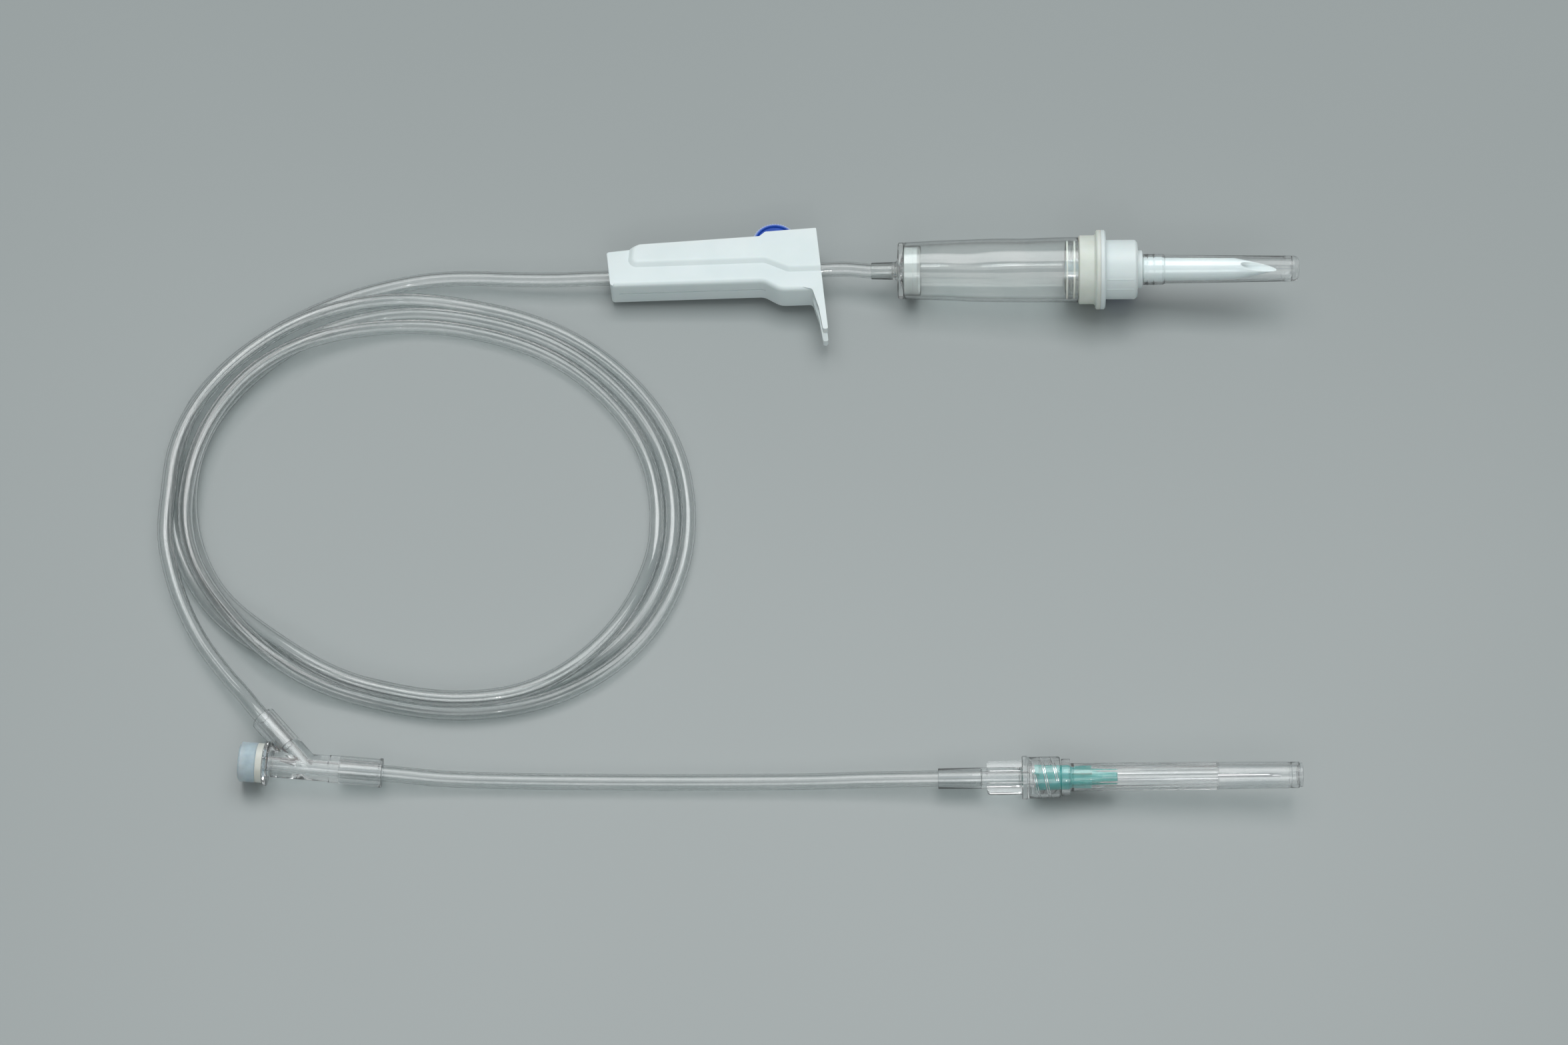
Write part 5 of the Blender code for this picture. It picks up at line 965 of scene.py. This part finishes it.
luer_shape = spun([
    (-20.08, SOCKET_RADIUS), (-20.08, 2.4), (BODY_START, 2.5), (-FLANGE_HALF, 2.5, 0.3),
    (-FLANGE_HALF, 4.9), (0.2 - FLANGE_HALF, 5.1), (FLANGE_HALF, 5.1), (FLANGE_HALF, 4.85),
    (COLLAR_END - 0.2, 4.85), (COLLAR_END, 4.65), (COLLAR_END, 4.0), (FLANGE_HALF + 0.3, 4.0),
    (FLANGE_HALF + 0.3, cone_radius(FLANGE_HALF + 0.3)), (CONE_END - 0.2, cone_radius(CONE_END)),
    (CONE_END, cone_radius(CONE_END) - 0.2), (CONE_END, BORE_RADIUS), (-9.93, BORE_RADIUS),
    (-9.93, SOCKET_RADIUS),
])
wing_outline = rounded([
    (BODY_START, WING_HALF_WIDTH, 1.0), (0.0, WING_HALF_WIDTH), (0.0, -WING_HALF_WIDTH),
    (BODY_START, -WING_HALF_WIDTH, 1.0),
], 0.0, steps=8)
luer_steps = [
    ("UNION", raised(wing_outline, -WING_HALF_THICKNESS, WING_HALF_THICKNESS)),
    ("DIFFERENCE", rod((-10.9, 0.0, 0.0), (1.0, 0.0, 0.0), BORE_RADIUS)),
]
for first_turn in (0.0, math.pi):
    thread = bmesh.new()
    ridge = [thread.verts.new((THREAD_START + x, 0.0, radius))
             for x, radius in ((-0.45, 4.1), (0.45, 4.1), (0.15, 3.68), (-0.15, 3.68))]
    ridge_face = thread.faces.new(ridge)
    bmesh.ops.rotate(thread, verts=ridge, cent=(0.0, 0.0, 0.0), matrix=Matrix.Rotation(first_turn, 3, "X"))
    bmesh.ops.spin(thread, geom=[ridge_face], axis=(1, 0, 0), cent=(0, 0, 0),
                   dvec=(THREAD_RISE / THREAD_STEPS, 0.0, 0.0), angle=THREAD_ANGLE, steps=THREAD_STEPS)
    luer_steps.append(("UNION", thread))
finished("luer_moulding", worked(luer_shape, luer_steps), luer_place, "set", rigid_clear,
         ["luer_connector"], edge=0.08)


# Needle hub: translucent teal moulding. Two lugs catch in the lock thread, six fins
# give grip, and the nose holds the cannula.
hub_teal = plastic("hub_teal", (0.03, 0.36, 0.33), (0.07, 0.47, 0.43), patch=2.0,
                   roughness=(0.16, 0.28), grain=0.5, relief=0.015, Subsurface_Weight=0.3,
                   Transmission_Weight=0.25, IOR=1.5)
HUB_START = 2.2
HUB_RADIUS = 2.95
HUB_BORE = 0.56
HUB_END = 21.53
FIN_COUNT = 6
FIN_START = 10.53
FIN_END = 15.53
LUG_REACH = 3.75
SOCKET_END = CONE_END + 0.3
CONE_PLAY = 0.15
hub_mouth = cone_radius(HUB_START) + CONE_PLAY
lug_base = (hub_mouth + HUB_RADIUS) / 2
lug_height = LUG_REACH - lug_base
hub_steps = []
for side in (-1, 1):
    lug_middle = (HUB_START + 0.5, 0.0, side * (lug_base + lug_height / 2))
    hub_steps.append(("UNION", block(lug_middle, (1.0, 2.2, lug_height))))
for fin in range(FIN_COUNT):
    fin_turn = Matrix.Rotation(math.tau * fin / FIN_COUNT, 4, "X")
    fin_middle = fin_turn @ Vector(((FIN_START + 0.3 + FIN_END) / 2, 0.0, 1.7))
    hub_steps.append(("UNION", block(fin_middle, (FIN_END - FIN_START - 0.3, 0.6, 1.6), fin_turn)))
hub_steps.append(("DIFFERENCE", rod((SOCKET_END - 1.0, 0.0, 0.0), (HUB_END + 1.0, 0.0, 0.0), HUB_BORE, 32)))
hub_shape = worked(spun([
    (HUB_START, hub_mouth), (HUB_START, HUB_RADIUS), (FIN_START - 0.4, 2.85), (FIN_START, 2.5),
    (FIN_START + 0.6, 2.5), (FIN_START + 0.9, 2.0), (FIN_END, 1.8), (HUB_END - 0.3, 1.5), (HUB_END, 1.2),
    (HUB_END, HUB_BORE), (SOCKET_END, HUB_BORE), (SOCKET_END, cone_radius(CONE_END) + CONE_PLAY),
], radius=0.1), hub_steps)
finished("needle_hub_moulding", hub_shape, luer_place, "needle", hub_teal, ["needle_hub"],
         edge=0.05)


# Cannula: drawn stainless steel tube, 0.8 mm across, ground to a slanted point and
# glued in the hub's nose. Fine drawing lines run along it.
steel = bpy.data.materials.new("drawn_steel")
steel.use_nodes = True
steel_tree = steel.node_tree
steel_shader = steel_tree.nodes["Principled BSDF"]
steel_shader.inputs["Metallic"].default_value = 1.0
steel_place = add_node(steel_tree, "ShaderNodeTexCoord").outputs["Object"]
steel_lines = add_node(steel_tree, "ShaderNodeMapping",
                       {"Vector": steel_place, "Scale": (120.0, 9000.0, 9000.0)}).outputs["Vector"]
steel_noise = add_node(steel_tree, "ShaderNodeTexNoise", {"Vector": steel_lines, "Scale": 1.0}).outputs[0]
steel_tone = two_tones(steel_tree, steel_noise, (0.54, 0.55, 0.56), (0.72, 0.73, 0.74))
steel_tree.links.new(steel_tone, steel_shader.inputs["Base Color"])
steel_gloss = add_node(steel_tree, "ShaderNodeMapRange",
                       {"Value": steel_noise, "To Min": 0.14, "To Max": 0.32}).outputs["Result"]
steel_tree.links.new(steel_gloss, steel_shader.inputs["Roughness"])

NEEDLE_TIP = 59.53
CANNULA_START = HUB_END - 7.0
CANNULA_RADIUS = 0.41
CANNULA_BORE = 0.25
cannula_shape = spun([
    (CANNULA_START, CANNULA_BORE), (CANNULA_START, CANNULA_RADIUS), (NEEDLE_TIP, CANNULA_RADIUS),
    (NEEDLE_TIP, CANNULA_BORE),
], radius=0.0, turns=32)
for vert in cannula_shape.verts:
    if vert.co.x > NEEDLE_TIP - 0.001:
        vert.co.x -= (CANNULA_RADIUS + vert.co.z) / math.tan(POINT_ANGLE)
finished("needle_cannula", cannula_shape, luer_place, "needle", steel, ["cannula"])


# Needle cap: polished clear sheath with a ring at its mouth, twenty grip ribs, and a
# slimmer smooth end with a stepped tip.
CAP_START = 8.53
CAP_END = NEEDLE_TIP + 4.75
CAP_RADIUS = 3.3
RIB_COUNT = 20
RIB_HALF_DEPTH = 0.1
RIB_START = FIN_START + 8.0
RIB_END = FIN_START + 34.0
cap_shape = spun([
    (CAP_START, 3.1), (CAP_START, 4.3), (FIN_START, 4.3), (FIN_START, 3.4), (FIN_START + 0.3, CAP_RADIUS),
    (FIN_START + 5.0, CAP_RADIUS), (RIB_START, CAP_RADIUS), (RIB_END - 0.6, CAP_RADIUS),
    (RIB_END, CAP_RADIUS), (RIB_END + 0.4, 3.15),
    (CAP_END - 3.1, 3.06), (CAP_END - 3.0, 2.98), (CAP_END - 2.7, 2.98), (CAP_END - 2.6, 3.05),
    (CAP_END - 0.8, 3.05), (CAP_END - 0.7, 2.8), (CAP_END, 2.8), (CAP_END, 0.0),
    (CAP_END - 0.55, 0.0), (CAP_END - 0.75, 2.25), (RIB_END, 2.5), (FIN_START + 0.9, 2.75), (FIN_START, 3.1),
], radius=0.08, turns=160)
fluted(cap_shape, RIB_COUNT, RIB_HALF_DEPTH, CAP_RADIUS - 0.1, start=RIB_START - 0.1, end=RIB_END + 0.01)
finished("needle_sheath", cap_shape, luer_place, "needle_cap", rigid_clear, ["needle_cap"])
